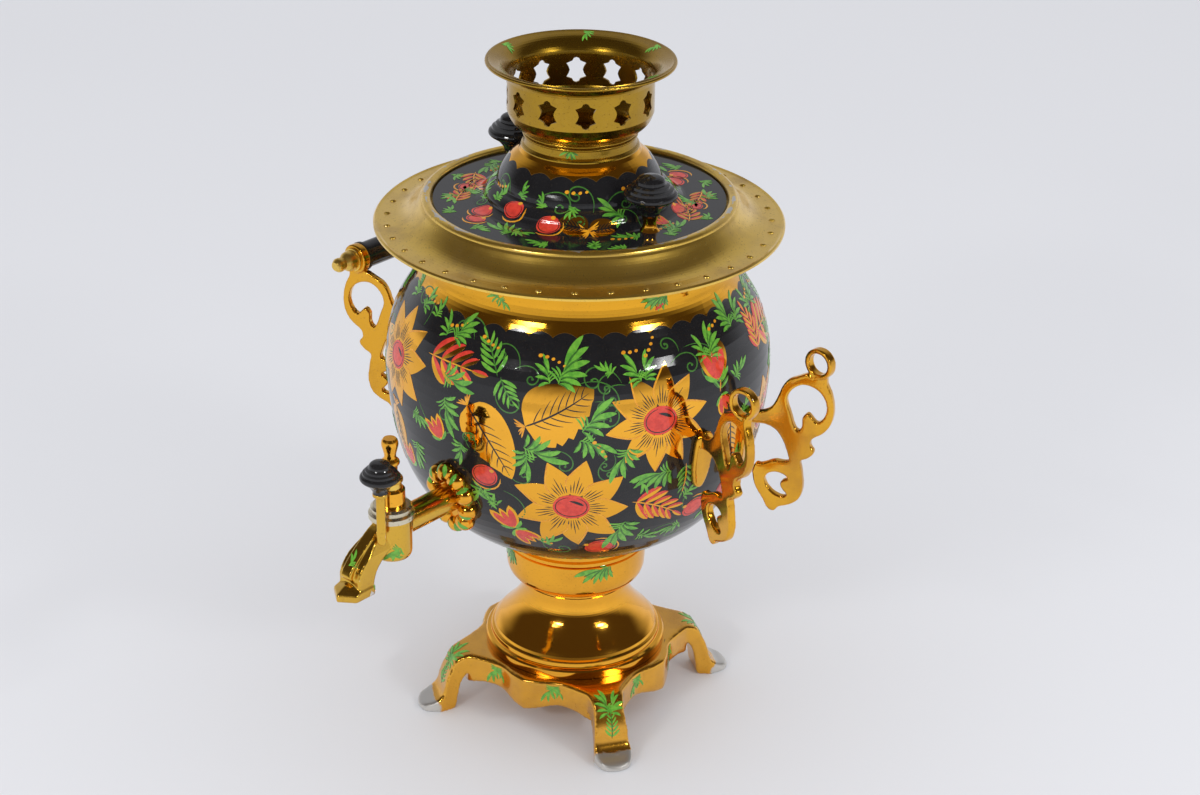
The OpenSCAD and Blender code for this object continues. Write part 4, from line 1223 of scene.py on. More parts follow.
class Ornament(Brush):
    """Draws whole motifs, each from a few kinds of strokes.

    Attributes:
        EDGING_START: where the line along a petal's edge starts, as a part of its length.
    """

    EDGING_START = 0.1

    def flower(self, u: float, v: float, reach: float, count: int, turn: float, heart: float) -> None:
        """Draws a flower with pointed petals round a red heart.

        Args:
            u, v: its middle.
            reach: the length from the middle to a petal's tip.
            count: its number of petals.
            turn: direction of the first petal in degrees.
            heart: half the heart's width.
        """
        wide = 2 * 0.66 * reach * math.tan(math.pi / count)
        for k in range(count):
            a = turn + 360.0 * k / count + self.wander(3)
            c, s = math.cos(math.radians(a)), math.sin(math.radians(a))
            size = reach * (1.04 + self.wander(0.06)) - 0.7 * heart
            spine = arc(u + 0.7 * heart * c, v + 0.7 * heart * s, a - 6, size, 12 + self.wander(8), 14)
            last = len(spine) - 1
            half = [max(self.THIN, wide / 2 * petal(i / last)) for i in range(last + 1)]
            self.ribbon(spine, half, half, Paint.GILT, 0)
            self.edging(spine, half, 0.9)
            for j in range(5):
                b = math.radians(a + (j - 2) * 300.0 / count / 5)
                long = (4.0 + 6.5 * (1 - abs(j - 2) / 2.6)) * reach / 29
                far = heart + long + self.wander(1.5)
                line = [(u + q * math.cos(b), v + q * math.sin(b)) for q in (heart, (heart + far) / 2, far)]
                self.stroke(line, 0.75, Paint.BLACK, 1, 0.2, 0.8)
        self.disc(u, v, heart, 0.84, 0, Paint.RED, 2)
        self.hoop(u, v, heart * 0.86, 0.8, 100, 330, 0.5, Paint.BLACK, 3)
        self.comma(u - 0.1 * heart, v + 0.42 * heart, -8, heart * 0.85, 1.7, -30, Paint.BLACK, 3)

    def edging(self, spine: Sequence[Point], half: Sequence[float], width: float) -> None:
        """Draws a yellow line along the left edge of a petal.

        Args:
            spine: the petal's spine.
            half: its half widths.
            width: the line's width.
        """
        line = []
        for i, (u, v) in enumerate(spine):
            if i / (len(spine) - 1) < self.EDGING_START:
                continue
            (au, av), (bu, bv) = spine[max(i - 1, 0)], spine[min(i + 1, len(spine) - 1)]
            size = math.hypot(bu - au, bv - av) or 1.0
            line.append((u + (av - bv) / size * half[i], v + (bu - au) / size * half[i]))
        self.stroke(line, width, Paint.YELLOW, 1, 0.3, 0.3)

    def leaf(self, u: float, v: float, heading: float, length: float, left: float, right: float,
             bend: float) -> None:
        """Draws a wide gilt leaf with a toothed edge and black veins.

        Args:
            u, v: the foot of its stalk.
            heading: its direction in degrees.
            length: its length.
            left, right: its greatest half widths.
            bend: how far its midrib bends.
        """
        spine = arc(u, v, heading, length, bend, 26)
        last = len(spine) - 1
        shape = [swell(k / last, 0.45, 0.85) for k in range(last + 1)]
        tooth = [1.0 - 0.15 * (k % 4) / 3 if k > 6 else 1.0 for k in range(last + 1)]
        smooth = [max(self.THIN, left * q) for q in shape]
        toothed = [max(self.THIN, right * q * t) for q, t in zip(shape, tooth, strict=True)]
        self.ribbon(spine, smooth, toothed, Paint.GILT, 0)
        self.stroke(spine[: last - 1], 1.0, Paint.BLACK, 1, 0.2, 0.5)
        for k in range(3, last - 3, 3):
            a = heading + bend * k / last
            for side, wide in ((1, left), (-1, right)):
                vein = wide * shape[k] * 0.72
                self.comma(*spine[k], a + side * 52, vein, 0.6, -side * 22, Paint.BLACK, 1, 0.3, 0.6)
        for side in (1, -1):
            for k in range(3):
                self.comma(u, v, heading + 180 + side * (12 + 16 * k), 5 + k, 0.9, side * 14, Paint.YELLOW, 1)

    def fern(self, u: float, v: float, heading: float, length: float, pairs: int, size: float,
             first: Paint, second: Paint, bend: float = 20, wide: float = 0.3) -> None:
        """Draws a stem with pairs of leaflets.

        Args:
            u, v: its foot.
            heading: its direction in degrees.
            length: its length.
            pairs: number of leaflet pairs.
            size: length of the longest leaflet.
            first, second: paints of a leaflet's halves.
            bend: how far the stem bends.
            wide: a leaflet's width as a part of its length.
        """
        spine = arc(u, v, heading, length, bend, 2 * pairs + 2)
        stem = Paint.GREEN if first is Paint.LIME else Paint.YELLOW
        self.stroke(spine, 0.8, stem, 1, 0.3, 0.4)
        for k in range(pairs):
            i = 2 * k + 1
            a = heading + bend * i / len(spine)
            part = size * (1 - 0.42 * k / pairs) * (1 + self.wander(0.08))
            for side in (1, -1):
                turn = a + side * (56 - 14 * k / pairs)
                self.leaflet(*spine[i], turn, part, part * wide, -side * 22, first, second, 1)
        self.leaflet(*spine[-2], heading + bend, size * 0.62, size * wide * 0.6, 0, first, second, 1)

    def tuft(self, u: float, v: float, heading: float, size: float, side: int = 1, count: int = 6) -> None:
        """Draws a leafy green spray that opens to one side.

        Args:
            u, v: its foot.
            heading: direction of its longest blade in degrees.
            size: length of that blade.
            side: 1 where it opens to the left, -1 to the right.
            count: its number of blades.
        """
        stem = arc(u, v, heading - side * 14, size * 0.34, side * 20, 2 * count)
        self.stroke(stem, 0.9, Paint.LIME, 1, 0.3, 0.3)
        for k in range(count):
            t = k / (count - 1)
            part = size * (0.78 - 0.38 * t) * (1 + self.wander(0.08))
            turn = heading + side * (78 * t - 6) + self.wander(4)
            foot = stem[round((1 - t) * 0.9 * (len(stem) - 1))]
            wide = max(0.9, (0.19 + 0.05 * t) * part)
            bend = side * (34 + 26 * t)
            self.comma(*foot, turn - side * 12, part, wide, bend, Paint.LIME, 2, 0.85, 0.7)
            if size > 13:
                self.comma(*foot, turn - side * 5, part * 0.66, wide * 0.28, bend, Paint.GREEN, 3, 0.6, 0.6)
        thin = max(0.7, 0.045 * size)
        for k in range(3):
            foot = stem[min(1 + 2 * k, len(stem) - 1)]
            turn = heading - side * (50 - 10 * k)
            self.comma(*foot, turn, size * (0.36 - 0.05 * k), thin, -side * 50, Paint.LIME, 1)

    def plume(self, u: float, v: float, heading: float, size: float, side: int = 1) -> None:
        """Draws a tuft whose stem ends in a curl."""
        self.tuft(u, v, heading, size, side, 5)
        self.curl(u, v, heading - side * 30, size * 0.42, -side)

    def curl(self, u: float, v: float, heading: float, size: float, side: int = 1) -> None:
        """Draws a thin green scroll.

        Args:
            u, v: its foot.
            heading: its first direction in degrees.
            size: about half its width.
            side: 1 where it winds to the left, -1 to the right.
        """
        steps, points, a = 26, [(u, v)], heading
        for k in range(steps):
            t = k / steps
            stride = size * (0.36 - 0.27 * t)
            a += side * (7 + 24 * t)
            u, v = u + stride * math.cos(math.radians(a)), v + stride * math.sin(math.radians(a))
            points.append((u, v))
        self.stroke(points, 0.78, Paint.GREEN, 0, 0.3, 0.12)
        self.disc(*points[-1], 0.7, 1.0, 0, Paint.GREEN, 0)

    def apple(self, u: float, v: float, r: float, stalk: float = 60.0, squash: float = 0.86) -> None:
        """Draws a red fruit with its outline, stalk and a yellow arc beside it.

        Args:
            u, v: its middle.
            r: half its width.
            stalk: direction of the stalk in degrees.
            squash: its height as a part of its width.
        """
        self.disc(u, v, r, squash, 15, Paint.RED, 1)
        self.hoop(u, v, r * 0.86, squash, stalk + 40, 300, 0.45, Paint.BLACK, 2)
        a = math.radians(stalk)
        su, sv = u + 0.95 * r * math.cos(a), v + 0.9 * r * math.sin(a)
        self.disc(su - 1, sv - 0.6, 1.3, 0.8, 0, Paint.YELLOW, 3)
        self.hoop(u, v, r + 1.6, 0.95, stalk - 190, 150, 0.9, Paint.YELLOW, 1)

    def bud(self, u: float, v: float, heading: float, size: float) -> None:
        """Draws a bud of three red petals with gilt edges, and its green sepals.

        Args:
            u, v: its foot.
            heading: its direction in degrees.
            size: its length.
        """
        for k, part in ((0, 0.9), (-1, 1.0), (1, 1.0)):
            turn, wide = heading + 33 * k, size * (0.30 if k == 0 else 0.38)
            self.comma(u, v, turn, size * part, wide, -20 * k, Paint.GILT, 1, 0.7, 0.7)
            a = math.radians(turn)
            foot = (u + 1.2 * math.cos(a), v + 1.2 * math.sin(a))
            self.comma(*foot, turn - 4 * k, size * part * 0.78, wide * 0.62, -14 * k, Paint.RED, 2, 0.7, 0.6)
        for k in (-2, 2):
            self.comma(u, v, heading + 40 * k, size * 0.5, size * 0.12, -20 * k, Paint.LIME, 2)

    def dots(self, u: float, v: float, heading: float, count: int = 4, bend: float = 30) -> None:
        """Draws a row of yellow dots."""
        for k, (a, b) in enumerate(arc(u, v, heading, 3.4 * count, bend, count)[:count]):
            self.disc(a, b, 1.15 - 0.1 * k, 0.85, 20, Paint.YELLOW, 2)

    def grass(self, u: float, v: float, heading: float, size: float, count: int = 5) -> None:
        """Draws a small fan of thin green strokes.

        Args:
            u, v: its foot.
            heading: direction of its middle in degrees.
            size: length of its middle stroke.
            count: its number of strokes.
        """
        for k in range(count):
            aside = k - (count - 1) / 2
            green = Paint.LIME if k % 2 else Paint.GREEN
            part = size * (1 - 0.1 * abs(aside))
            self.comma(u, v, heading + aside * 24, part, 1.1, self.wander(30), green, 1)


# The urn's motifs: the kind, the angle round the axis in degrees, the height in millimetres, then
# what the method of that name takes after u and v. The bouquet is painted three times round the urn.
Motifs = tuple[tuple[object, ...], ...]
BOUQUET: Motifs = (
    ("flower", -24.9, 218.7, 28, 10, 84, 9.4),
    ("flower", -50.4, 170.3, 30, 9, 76, 9.6),
    ("leaf", -81.6, 222.0, -49, 45, 15, 13, -16),
    ("leaf", -63.5, 217.5, 24, 40, 17, 17, 16),
    ("apple", -76.7, 183.4, 7.6, 40),
    ("apple", -40.3, 139.5, 8.2, 150),
    ("bud", -91.5, 197.0, 122, 15),
    ("bud", -69.0, 151.5, 118, 17),
    ("bud", -69.0, 150.5, -44, 15),
    ("fern", -32.0, 172.0, -14, 30, 5, 15, Paint.RED, Paint.GILT, -28, 0.3),
    ("fern", -99.5, 240.0, 2, 34, 4, 17, Paint.RED, Paint.GILT, -6, 0.32),
    ("fern", -73.0, 241.0, 112, 22, 5, 11, Paint.LIME, Paint.LIME, 14, 0.2),
    ("fern", -72.0, 240.0, -66, 15, 4, 9, Paint.LIME, Paint.LIME, 24, 0.2),
    ("fern", -15.5, 190.0, -80, 20, 5, 8, Paint.GREEN, Paint.LIME, -20, 0.26),
    ("fern", -3.6, 225.0, 78, 16, 4, 8, Paint.GREEN, Paint.LIME, 10, 0.26),
    ("tuft", -54.5, 240.0, 62, 25, -1),
    ("tuft", -57.0, 240.0, 112, 15, 1, 4),
    ("tuft", -91.5, 251.0, 58, 18, -1),
    ("tuft", -95.0, 252.0, 108, 13, 1, 4),
    ("tuft", -28.5, 241.0, 78, 14, -1, 5),
    ("tuft", -30.0, 240.0, 122, 15, 1, 5),
    ("tuft", -91.0, 235.0, -14, 20, 1, 5),
    ("tuft", -47.5, 216.0, 44, 23, -1, 5),
    ("tuft", -48.0, 212.0, -24, 20, -1, 5),
    ("tuft", -64.0, 205.0, -16, 22, 1, 5),
    ("tuft", -63.5, 203.0, -92, 18, -1, 5),
    ("tuft", -90.0, 222.0, -72, 20, 1, 5),
    ("tuft", -84.0, 200.0, -104, 14, -1, 5),
    ("tuft", -77.5, 174.5, -62, 12, 1, 4),
    ("tuft", -78.5, 175.0, -124, 13, -1, 4),
    ("tuft", -34.0, 205.0, -112, 20, 1, 5),
    ("tuft", -20.5, 187.5, 186, 22, 1, 6),
    ("tuft", -30.5, 186.0, -64, 12, -1, 4),
    ("tuft", -33.5, 158.0, -108, 24, 1, 6),
    ("tuft", -28.0, 146.0, -24, 14, 1, 4),
    ("tuft", -73.5, 166.0, 146, 14, -1, 4),
    ("tuft", -60.0, 141.0, 40, 12, 1, 5),
    ("plume", -38.5, 246.0, 150, 10, -1),
    ("curl", -80.0, 248.0, 70, 8, 1),
    ("curl", -84.0, 254.0, 100, 5, 1),
    ("curl", -66.5, 246.0, 84, 6, 1),
    ("curl", -68.0, 245.0, 40, 5, -1),
    ("curl", -73.0, 236.0, -100, 6, 1),
    ("curl", -49.0, 240.0, 24, 9, -1),
    ("curl", -44.0, 232.0, 10, 6, -1),
    ("curl", -36.0, 240.0, 110, 7, 1),
    ("curl", -35.0, 239.0, 160, 5, 1),
    ("curl", -20.0, 246.0, 50, 6, -1),
    ("curl", -16.0, 250.0, 80, 4, 1),
    ("curl", -55.0, 205.0, 0, 5, -1),
    ("curl", -40.0, 201.0, -150, 5, 1),
    ("curl", -38.5, 203.0, -60, 4, -1),
    ("curl", -79.5, 197.0, 60, 4, 1),
    ("curl", -81.0, 198.0, 140, 3.4, -1),
    ("curl", -69.5, 191.0, -80, 5, 1),
    ("curl", -80.0, 160.0, 90, 8, 1),
    ("curl", -71.0, 176.0, -10, 7, -1),
    ("curl", -59.0, 148.0, -120, 7, 1),
    ("curl", -24.0, 146.0, 40, 8, -1),
    ("dots", -80.5, 256.5, -34, 4),
    ("dots", -60.5, 253.0, -4, 5, -40),
    ("dots", -34.5, 253.5, -8, 3),
    ("dots", -27.5, 252.0, 46, 4),
    ("dots", -44.0, 210.5, -44, 4, -30),
    ("dots", -63.0, 146.0, -46, 4, 40),
    ("dots", -94.5, 256.5, 10, 4),
)
FRONT_ONLY: Motifs = (
    ("flower", -116.2, 229.0, 28, 9, 8, 8.8),
    ("apple", -8.4, 157.0, 7.4, 150),
    ("bud", -3.9, 231.5, 90, 21),
    ("bud", -3.6, 222.0, -60, 12),
    ("tuft", -4.6, 243.0, 78, 19, -1),
    ("tuft", -6.6, 244.0, 112, 13, 1, 4),
    ("tuft", 3.5, 228.0, 30, 14, 1, 5),
    ("tuft", 9.0, 252.0, 96, 19, 1, 6),
    ("tuft", 13.0, 252.0, 60, 16, -1, 5),
    ("fern", 20.0, 232.0, 82, 24, 5, 12, Paint.RED, Paint.GILT, 14, 0.3),
    ("flower", 24.0, 191.0, 26, 9, 20, 8.6),
    ("tuft", -112.0, 256.5, 70, 14, -1, 5),
    ("tuft", -121.0, 257.0, 110, 15, 1, 5),
    ("tuft", -103.5, 256.0, 84, 12, 1, 4),
    ("tuft", -104.0, 206.0, -20, 14, -1, 5),
    ("bud", -111.5, 166.0, 104, 16),
    ("leaf", -117.0, 198.0, -92, 32, 9, 9, 14),
    ("tuft", -104.5, 186.0, -96, 18, 1, 5),
    ("curl", -101.0, 214.0, -70, 10, 1),
    ("curl", -107.0, 250.0, 70, 8, 1),
    ("curl", -14.0, 252.0, 14, 9, -1),
    ("dots", -1.5, 255.5, 10, 3),
    ("dots", -112.0, 262.0, -14, 4),
    ("tuft", -14.5, 168.0, 40, 12, -1, 4),
    ("curl", -8.0, 176.0, 200, 8, 1),
    ("tuft", -12.0, 148.0, -160, 14, 1, 5),
)
BACK_ONLY: Motifs = (
    ("flower", 122.0, 178.0, 25, 9, 40, 8.6),
    ("leaf", 127.5, 244.0, -104, 34, 11, 11, 14),
    ("bud", 114.5, 212.0, 84, 18),
    ("apple", 117.0, 247.0, 6.8, 60),
    ("tuft", 114.0, 230.0, 96, 18, 1, 5),
    ("tuft", 119.0, 214.0, 50, 16, -1, 5),
    ("tuft", 108.5, 192.0, -110, 15, 1, 5),
    ("tuft", 131.0, 206.0, -50, 14, -1, 5),
    ("tuft", 113.0, 150.0, -70, 14, 1, 4),
    ("tuft", 129.0, 152.0, -120, 14, -1, 4),
    ("curl", 122.0, 252.0, 60, 6, 1),
    ("dots", 108.0, 255.0, 20, 4),
    ("flower", -137.0, 164.0, 24, 9, 30, 8.2),
    ("tuft", -133.0, 202.0, 84, 16, -1, 5),
    ("tuft", -128.0, 184.0, -100, 14, 1, 5),
    ("tuft", -139.0, 250.0, 90, 16, 1, 5),
    ("curl", -134.0, 236.0, 60, 6, -1),
    ("leaf", 1.0, 206.0, -82, 32, 10, 10, 14),
    ("apple", 5.5, 162.0, 7.0, 50),
    ("tuft", 7.0, 172.0, 84, 15, -1, 5),
    ("tuft", 0.5, 156.0, -118, 14, 1, 5),
    ("tuft", 7.5, 206.0, 60, 13, -1, 4),
)


# ---------------------------------------------------------------- rounded castings


@dataclass(frozen=True)
class RoundedCasting:
    """A cast piece whose edges are softened as by the mould and the polish.

    Attributes:
        node: the CAD node that it replaces.
        body: the body that it rides on.
        slot: name of a material slot; not used.
        finish: its finish.
        voxel: cell of the rounding in metres.
        passes: passes of smoothing.
        regain: how far the surface is moved out again in metres.
        shell: whether only the faces open to the top and the sides are softened.
        CLEAR: how far off its point a ray of that test starts, in metres.
        LEVEL_Z: the least upward part of the normal of a face that looks up.
        BEYOND: the ray's length in metres.
    """

    CLEAR: ClassVar[float] = 2e-5
    LEVEL_Z: ClassVar[float] = 0.3
    BEYOND: ClassVar[float] = 0.2

    node: str
    body: str
    slot: str
    finish: Finish
    voxel: float = 0.00045
    passes: int = 14
    regain: float = 0.0002
    shell: bool = False

    def baked(self, made: bpy.types.Object) -> None:
        """Turns an object's modifiers into its mesh.

        Args:
            made: the object.
        """
        graph = bpy.context.evaluated_depsgraph_get()
        mesh = bpy.data.meshes.new_from_object(made.evaluated_get(graph))
        made.modifiers.clear()
        made.data = mesh

    def open_points(self, mesh: bpy.types.Mesh) -> list[int]:
        """Finds the points from which nothing of the piece lies above or outwards.

        Args:
            mesh: the piece's mesh.
        Returns:
            Their indices.
        """
        tree = BVHTree.FromPolygons([v.co for v in mesh.vertices], [p.vertices for p in mesh.polygons])
        found = []
        for v in mesh.vertices:
            start = v.co + v.normal * self.CLEAR
            out = Vector((v.co.x, v.co.y, 0.0)).normalized()
            up = Vector((0, 0, 1)) if v.normal.z > self.LEVEL_Z else out
            if v.normal.dot(up) > 0.0 and tree.ray_cast(start, up, self.BEYOND)[0] is None:
                found.append(v.index)
        return found

    def build(self) -> bpy.types.Object:
        """Makes the rounded piece in place of its CAD node.

        Returns:
            The piece.
        """
        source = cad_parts[self.node]
        mesh = source.data.copy()
        mesh.transform(source.matrix_world)
        made = bpy.data.objects.new(f"{self.node}.rounded", mesh)
        bpy.context.scene.collection.objects.link(made)
        cell = made.modifiers.new("cells", "REMESH")
        cell.mode, cell.voxel_size, cell.use_smooth_shade = "VOXEL", self.voxel, True
        self.baked(made)
        ease = made.modifiers.new("ease", "SMOOTH")
        ease.factor, ease.iterations = 0.5, self.passes
        if self.shell:
            made.vertex_groups.new(name="open").add(self.open_points(made.data), 1.0, "REPLACE")
            ease.vertex_group = "open"
            last = made.modifiers.new("last", "SMOOTH")
            last.factor, last.iterations = 0.5, 3
        outward = made.modifiers.new("regain", "DISPLACE")
        outward.strength, outward.mid_level = self.regain, 0.0
        self.baked(made)
        made.vertex_groups.clear()
        soft = made.data
        soft.name = f"{self.node}.rounded"
        soft.materials.clear()
        soft.materials.append(FINISHES.of(self.finish))
        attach(made, self.body)
        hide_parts(self.node)
        LOG.info("%s: rounded, %d faces", self.node, len(soft.polygons))
        return made


# ---------------------------------------------------------------- sub-assemblies


@dataclass
class Base:
    """The cast base, the pedestal and its cup.

    Attributes:
        voxel: cell of the casting's rounding in metres.
        cup: heights of the cup's painted part in metres.
    """

    voxel: float = 0.0008
    cup: Point = (0.080, 0.100)

    def build(self) -> None:
        """Makes the rounded casting and paints it."""
        points = [v.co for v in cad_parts["base_casting"].data.vertices]
        reach = max(math.hypot(p.x, p.y) for p in points)
        worn = replace(CAST_GOLD, bands=((0.001, reach - 0.001, 0.0125, 0.3),))
        casting = RoundedCasting(
            "base_casting", "urn", "gold_metal", worn, self.voxel, passes=26, shell=True
        )
        self.paint(tree_of(casting.build()))

    def dress(self) -> None:
        """Gives the turned pieces their finishes."""
        FINISHES.dress(PEDESTAL_GOLD, "pedestal_foot")
        FINISHES.dress(WARM_GOLD, "pedestal_cup")
        FINISHES.dress(BARE_STEEL, "base_washer", "base_nut", "tie_rod", "tie_head_nut")
        FINISHES.dress(RUBBER, "tie_gasket")

    def paint(self, tree: BVHTree) -> None:
        """Paints green sprays on the shoulders, aprons, legs and cup.

        Args:
            tree: the casting's tree.
        """
        brush = Ornament("base_paint", "urn", 11, 1.0)
        for turn in (-33.4, 56.6, 146.6, 236.6):
            t = math.radians(turn)
            out = Vector((math.cos(t), math.sin(t), 0))
            side = Vector((-out.y, out.x, 0))
            shoulder = CastPatch.aimed(tree, out * 0.069 + Vector((0, 0, 0.08)), Vector((0, 0, -1)), out * -1)
            if shoulder:
                brush.on(shoulder).tuft(-1, -8, 104, 14, 1, 5)
                brush.tuft(1, -8, 72, 13, -1, 5)
            leg = CastPatch.aimed(tree, out * 0.2 + Vector((0, 0, 0.021)), out * -1, Vector((0, 0, 1)))
            if leg:
                brush.on(leg).fern(0, -8, 84, 15, 5, 6.2, Paint.LIME, Paint.LIME, 10, 0.24)
            for k in (-1, 1):
                origin = out * 0.05 + side * (k * 0.2) + Vector((0, 0, 0.0285))
                apron = CastPatch.aimed(tree, origin, side * -k, Vector((0, 0, 1)))
                if apron:
                    brush.on(apron).tuft(-2, 4, 240, 12, 1, 5)
                    brush.tuft(-2, 4, 300, 9, -1, 4)
        cup = TurnedCanvas.measured(tree_of(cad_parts["pedestal_cup"]), Face.OUTSIDE, *self.cup)
        for turn in (-24, 66, 156, 246):
            brush.on(TurnedPatch(cup, turn, cup.along(0.098))).tuft(3, 0, 196, 19, 1, 6)
        brush.build()


@dataclass
class Urn:
    """The painted urn and the dish with its collar.

    Attributes:
        low, high: heights of the painted part in metres.
        border: height of the grass along the bottom border in metres.
        blades: number of grass tufts round it.
        left_stop: angle in the bouquet past which its left copy would meet the front.
    """

    low: float = 0.112
    high: float = 0.2955
    border: float = 0.119
    blades: int = 48
    left_stop: float = -24.0

    def dress(self) -> None:
        """Gives the lacquer and the brass."""
        FINISHES.dress(URN_LACQUER, "urn_shell")
        FINISHES.dress(OLIVE_BRASS, "dish_collar")

    def build(self) -> None:
        """Paints the urn all round."""
        tree = tree_of(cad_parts["urn_shell"])
        canvas = TurnedCanvas.measured(tree, Face.OUTSIDE, self.low, self.high)
        for name, rows, shift in (
            ("front", BOUQUET, 0.0),
            ("rim", FRONT_ONLY, 0.0),
            ("right", BOUQUET, 121.0),
            ("left", BOUQUET, 232.0),
            ("back", BACK_ONLY, 0.0),
        ):
            brush = Ornament(f"urn_paint_{name}", "urn", 3 + len(name))
            for kind, turn, height, *values in rows:
                if name == "left" and turn > self.left_stop:
                    continue
                brush.on(TurnedPatch(canvas, turn + shift, canvas.along(height * MM)))
                getattr(brush, kind)(0.0, 0.0, *values)
            brush.build()
        self.borders(canvas)

    def borders(self, canvas: TurnedCanvas) -> None:
        """Paints the grass at the bottom and the sprays on the neck.

        Args:
            canvas: the urn's canvas.
        """
        brush = Ornament("urn_paint_border", "urn", 17)
        low = canvas.along(self.border)
        for k in range(self.blades):
            lean, size = brush.wander(25), brush.wander(2)
            brush.on(TurnedPatch(canvas, 360 / self.blades * k, low)).grass(0, 0.5, 90 + lean, 8 + size)
        for turn in (-20, 100, 220):
            brush.on(TurnedPatch(canvas, turn + 4, canvas.along(0.277)))
            brush.tuft(0, 0, 186, 15, 1, 6)
            brush.comma(-1, -3, 200, 7, 2.2, 20, Paint.RED, 2)
            brush.comma(3, 1, 150, 6, 1.6, -20, Paint.RED, 2)
            brush.on(TurnedPatch(canvas, turn - 58, canvas.along(0.275))).tuft(0, 0, 168, 9, 1, 4)
            brush.tuft(0, 0, -40, 8, -1, 4)
        brush.build()


@dataclass
class Lid:
    """The painted lid, its knobs and the pierced crown.

    Attributes:
        rim_r: outer radius of the painted plate in metres.
        dome_r: inner radius of the painting on the dome in metres.
    """

    rim_r: float = 0.077
    dome_r: float = 0.0345

    def dress(self) -> None:
        """Gives the lid's pieces their finishes."""
        FINISHES.dress(LID_LACQUER, "lid_shell")
        FINISHES.dress(CROWN_BRASS, "crown")
        FINISHES.dress(BLACK_PLASTIC, "lid_knob_front", "lid_knob_back")
        FINISHES.dress(WARM_GOLD, "lid_knob_stems")
        FINISHES.dress(BARE_STEEL, "crown_bolt", "crown_nut", "lid_knob_nuts")

    def build(self) -> None:
        """Paints the lid and the crown."""
        tree = tree_of(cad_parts["lid_shell"])
        plate = TurnedCanvas.measured(tree, Face.ABOVE, self.rim_r, self.dome_r, -60.0)
        brush = Ornament("lid_paint", "lid", 23, 1.0)
        for shift in (0.0, 180.0):
            self.garland(brush, plate, shift)
        brush.build()
        self.crown()

    def garland(self, brush: Ornament, plate: TurnedCanvas, shift: float) -> None:
        """Paints one half of the lid's ring of berries, leaves and ferns.

        Args:
            brush: the brush.
            plate: the lid's canvas.
            shift: how far the half is turned in degrees.
        """
        def on(turn: float, radius: float) -> Ornament:
            """Moves the brush to an angle and a radius in millimetres."""
            return brush.on(TurnedPatch(plate, turn + shift, plate.along_radius(radius * MM)))

        for turn, radius, r in ((-114, 56, 6.4), (-107, 63, 5.6), (-93, 49, 6.2), (-67, 51, 6.4)):
            on(turn, radius).apple(0, 0, r, 60, 0.8)
        on(-44, 52).leaf(0, 0, 165, 17, 7, 7, 10)
        on(-43, 53).leaf(0, 0, 12, 16, 6, 6, -10)
        on(-130, 66).fern(0, 0, 170, 24, 5, 9, Paint.RED, Paint.GILT, -14)
        on(10, 66).fern(0, 0, 20, 26, 5, 10, Paint.RED, Paint.GILT, 20)
        on(22, 55).apple(0, 0, 5.6, 60, 0.8)
        on(30, 62).apple(0, 0, 5.0, 60, 0.8)
        on(2, 60).bud(0, 0, 100, 9)
        for turn, radius, heading, size, side in (
            (-82, 62, 176, 18, -1), (-82, 62, 20, 10, -1), (-42, 72, 100, 9, 1), (-44, 72, 60, 9, -1),
            (-112, 49, 80, 12, 1), (-92, 44, 80, 9, -1), (-74, 45, 100, 8, 1), (-52, 44, -120, 9, 1),
            (-22, 50, 130, 16, 1), (-20, 64, 150, 13, -1), (-4, 66, 10, 16, 1), (-8, 70, 40, 10, -1),
            (-100, 70, 10, 11, 1), (-62, 70, 170, 12, 1), (-128, 52, 120, 12, -1), (-146, 62, 60, 12, 1),
            (12, 50, 70, 12, -1), (34, 50, 100, 12, 1), (40, 68, 0, 13, -1), (-118, 72, 160, 10, 1),
            (-150, 48, 90, 10, -1), (-30, 74, 175, 9, -1), (16, 73, 20, 9, 1),
        ):
            on(turn, radius).tuft(0, 0, heading, size, side, 5)
        for turn, radius, heading, size, side in (
            (-80, 44, 60, 7, -1), (-57, 52, 90, 4, -1), (-40, 46, 70, 6, 1), (-32, 46, 80, 6, -1),
            (-104, 44, 100, 5, 1), (-14, 57, 60, 6, 1), (-138, 56, 80, 6, -1), (26, 46, 80, 5, 1),
        ):
            on(turn, radius).curl(0, 0, heading, size, side)
        for turn, radius, heading in (
            (-58, 41, -10), (-33, 62, -20), (-16, 41, 0), (-6, 61, -10), (-124, 44, 0),
        ):
            on(turn, radius).dots(0, 0, heading, 4)

    def crown(self) -> None:
        """Paints the sprays inside the crown's rim and on its neck."""
        tree = tree_of(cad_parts["crown"])
        brush = Ornament("crown_paint", "lid", 29, 1.0)
        bowl = TurnedCanvas.measured(tree, Face.ABOVE, 0.0478, 0.0385, -60.0)
        for turn in (-170, -60, 70, 126, 5):
            brush.on(TurnedPatch(bowl, turn, 0.001)).tuft(0, 0, 70, 8, 1, 5)
        neck = TurnedCanvas.measured(tree, Face.OUTSIDE, 0.3352, 0.3415, -60.0)
        for turn in (-58, 62, 182):
            brush.on(TurnedPatch(neck, turn, 0.0045)).grass(0, 0, -90, 5.5, 5)
            brush.comma(-1, 0, 200, 6, 1.2, 20, Paint.LIME, 2)
        brush.build()


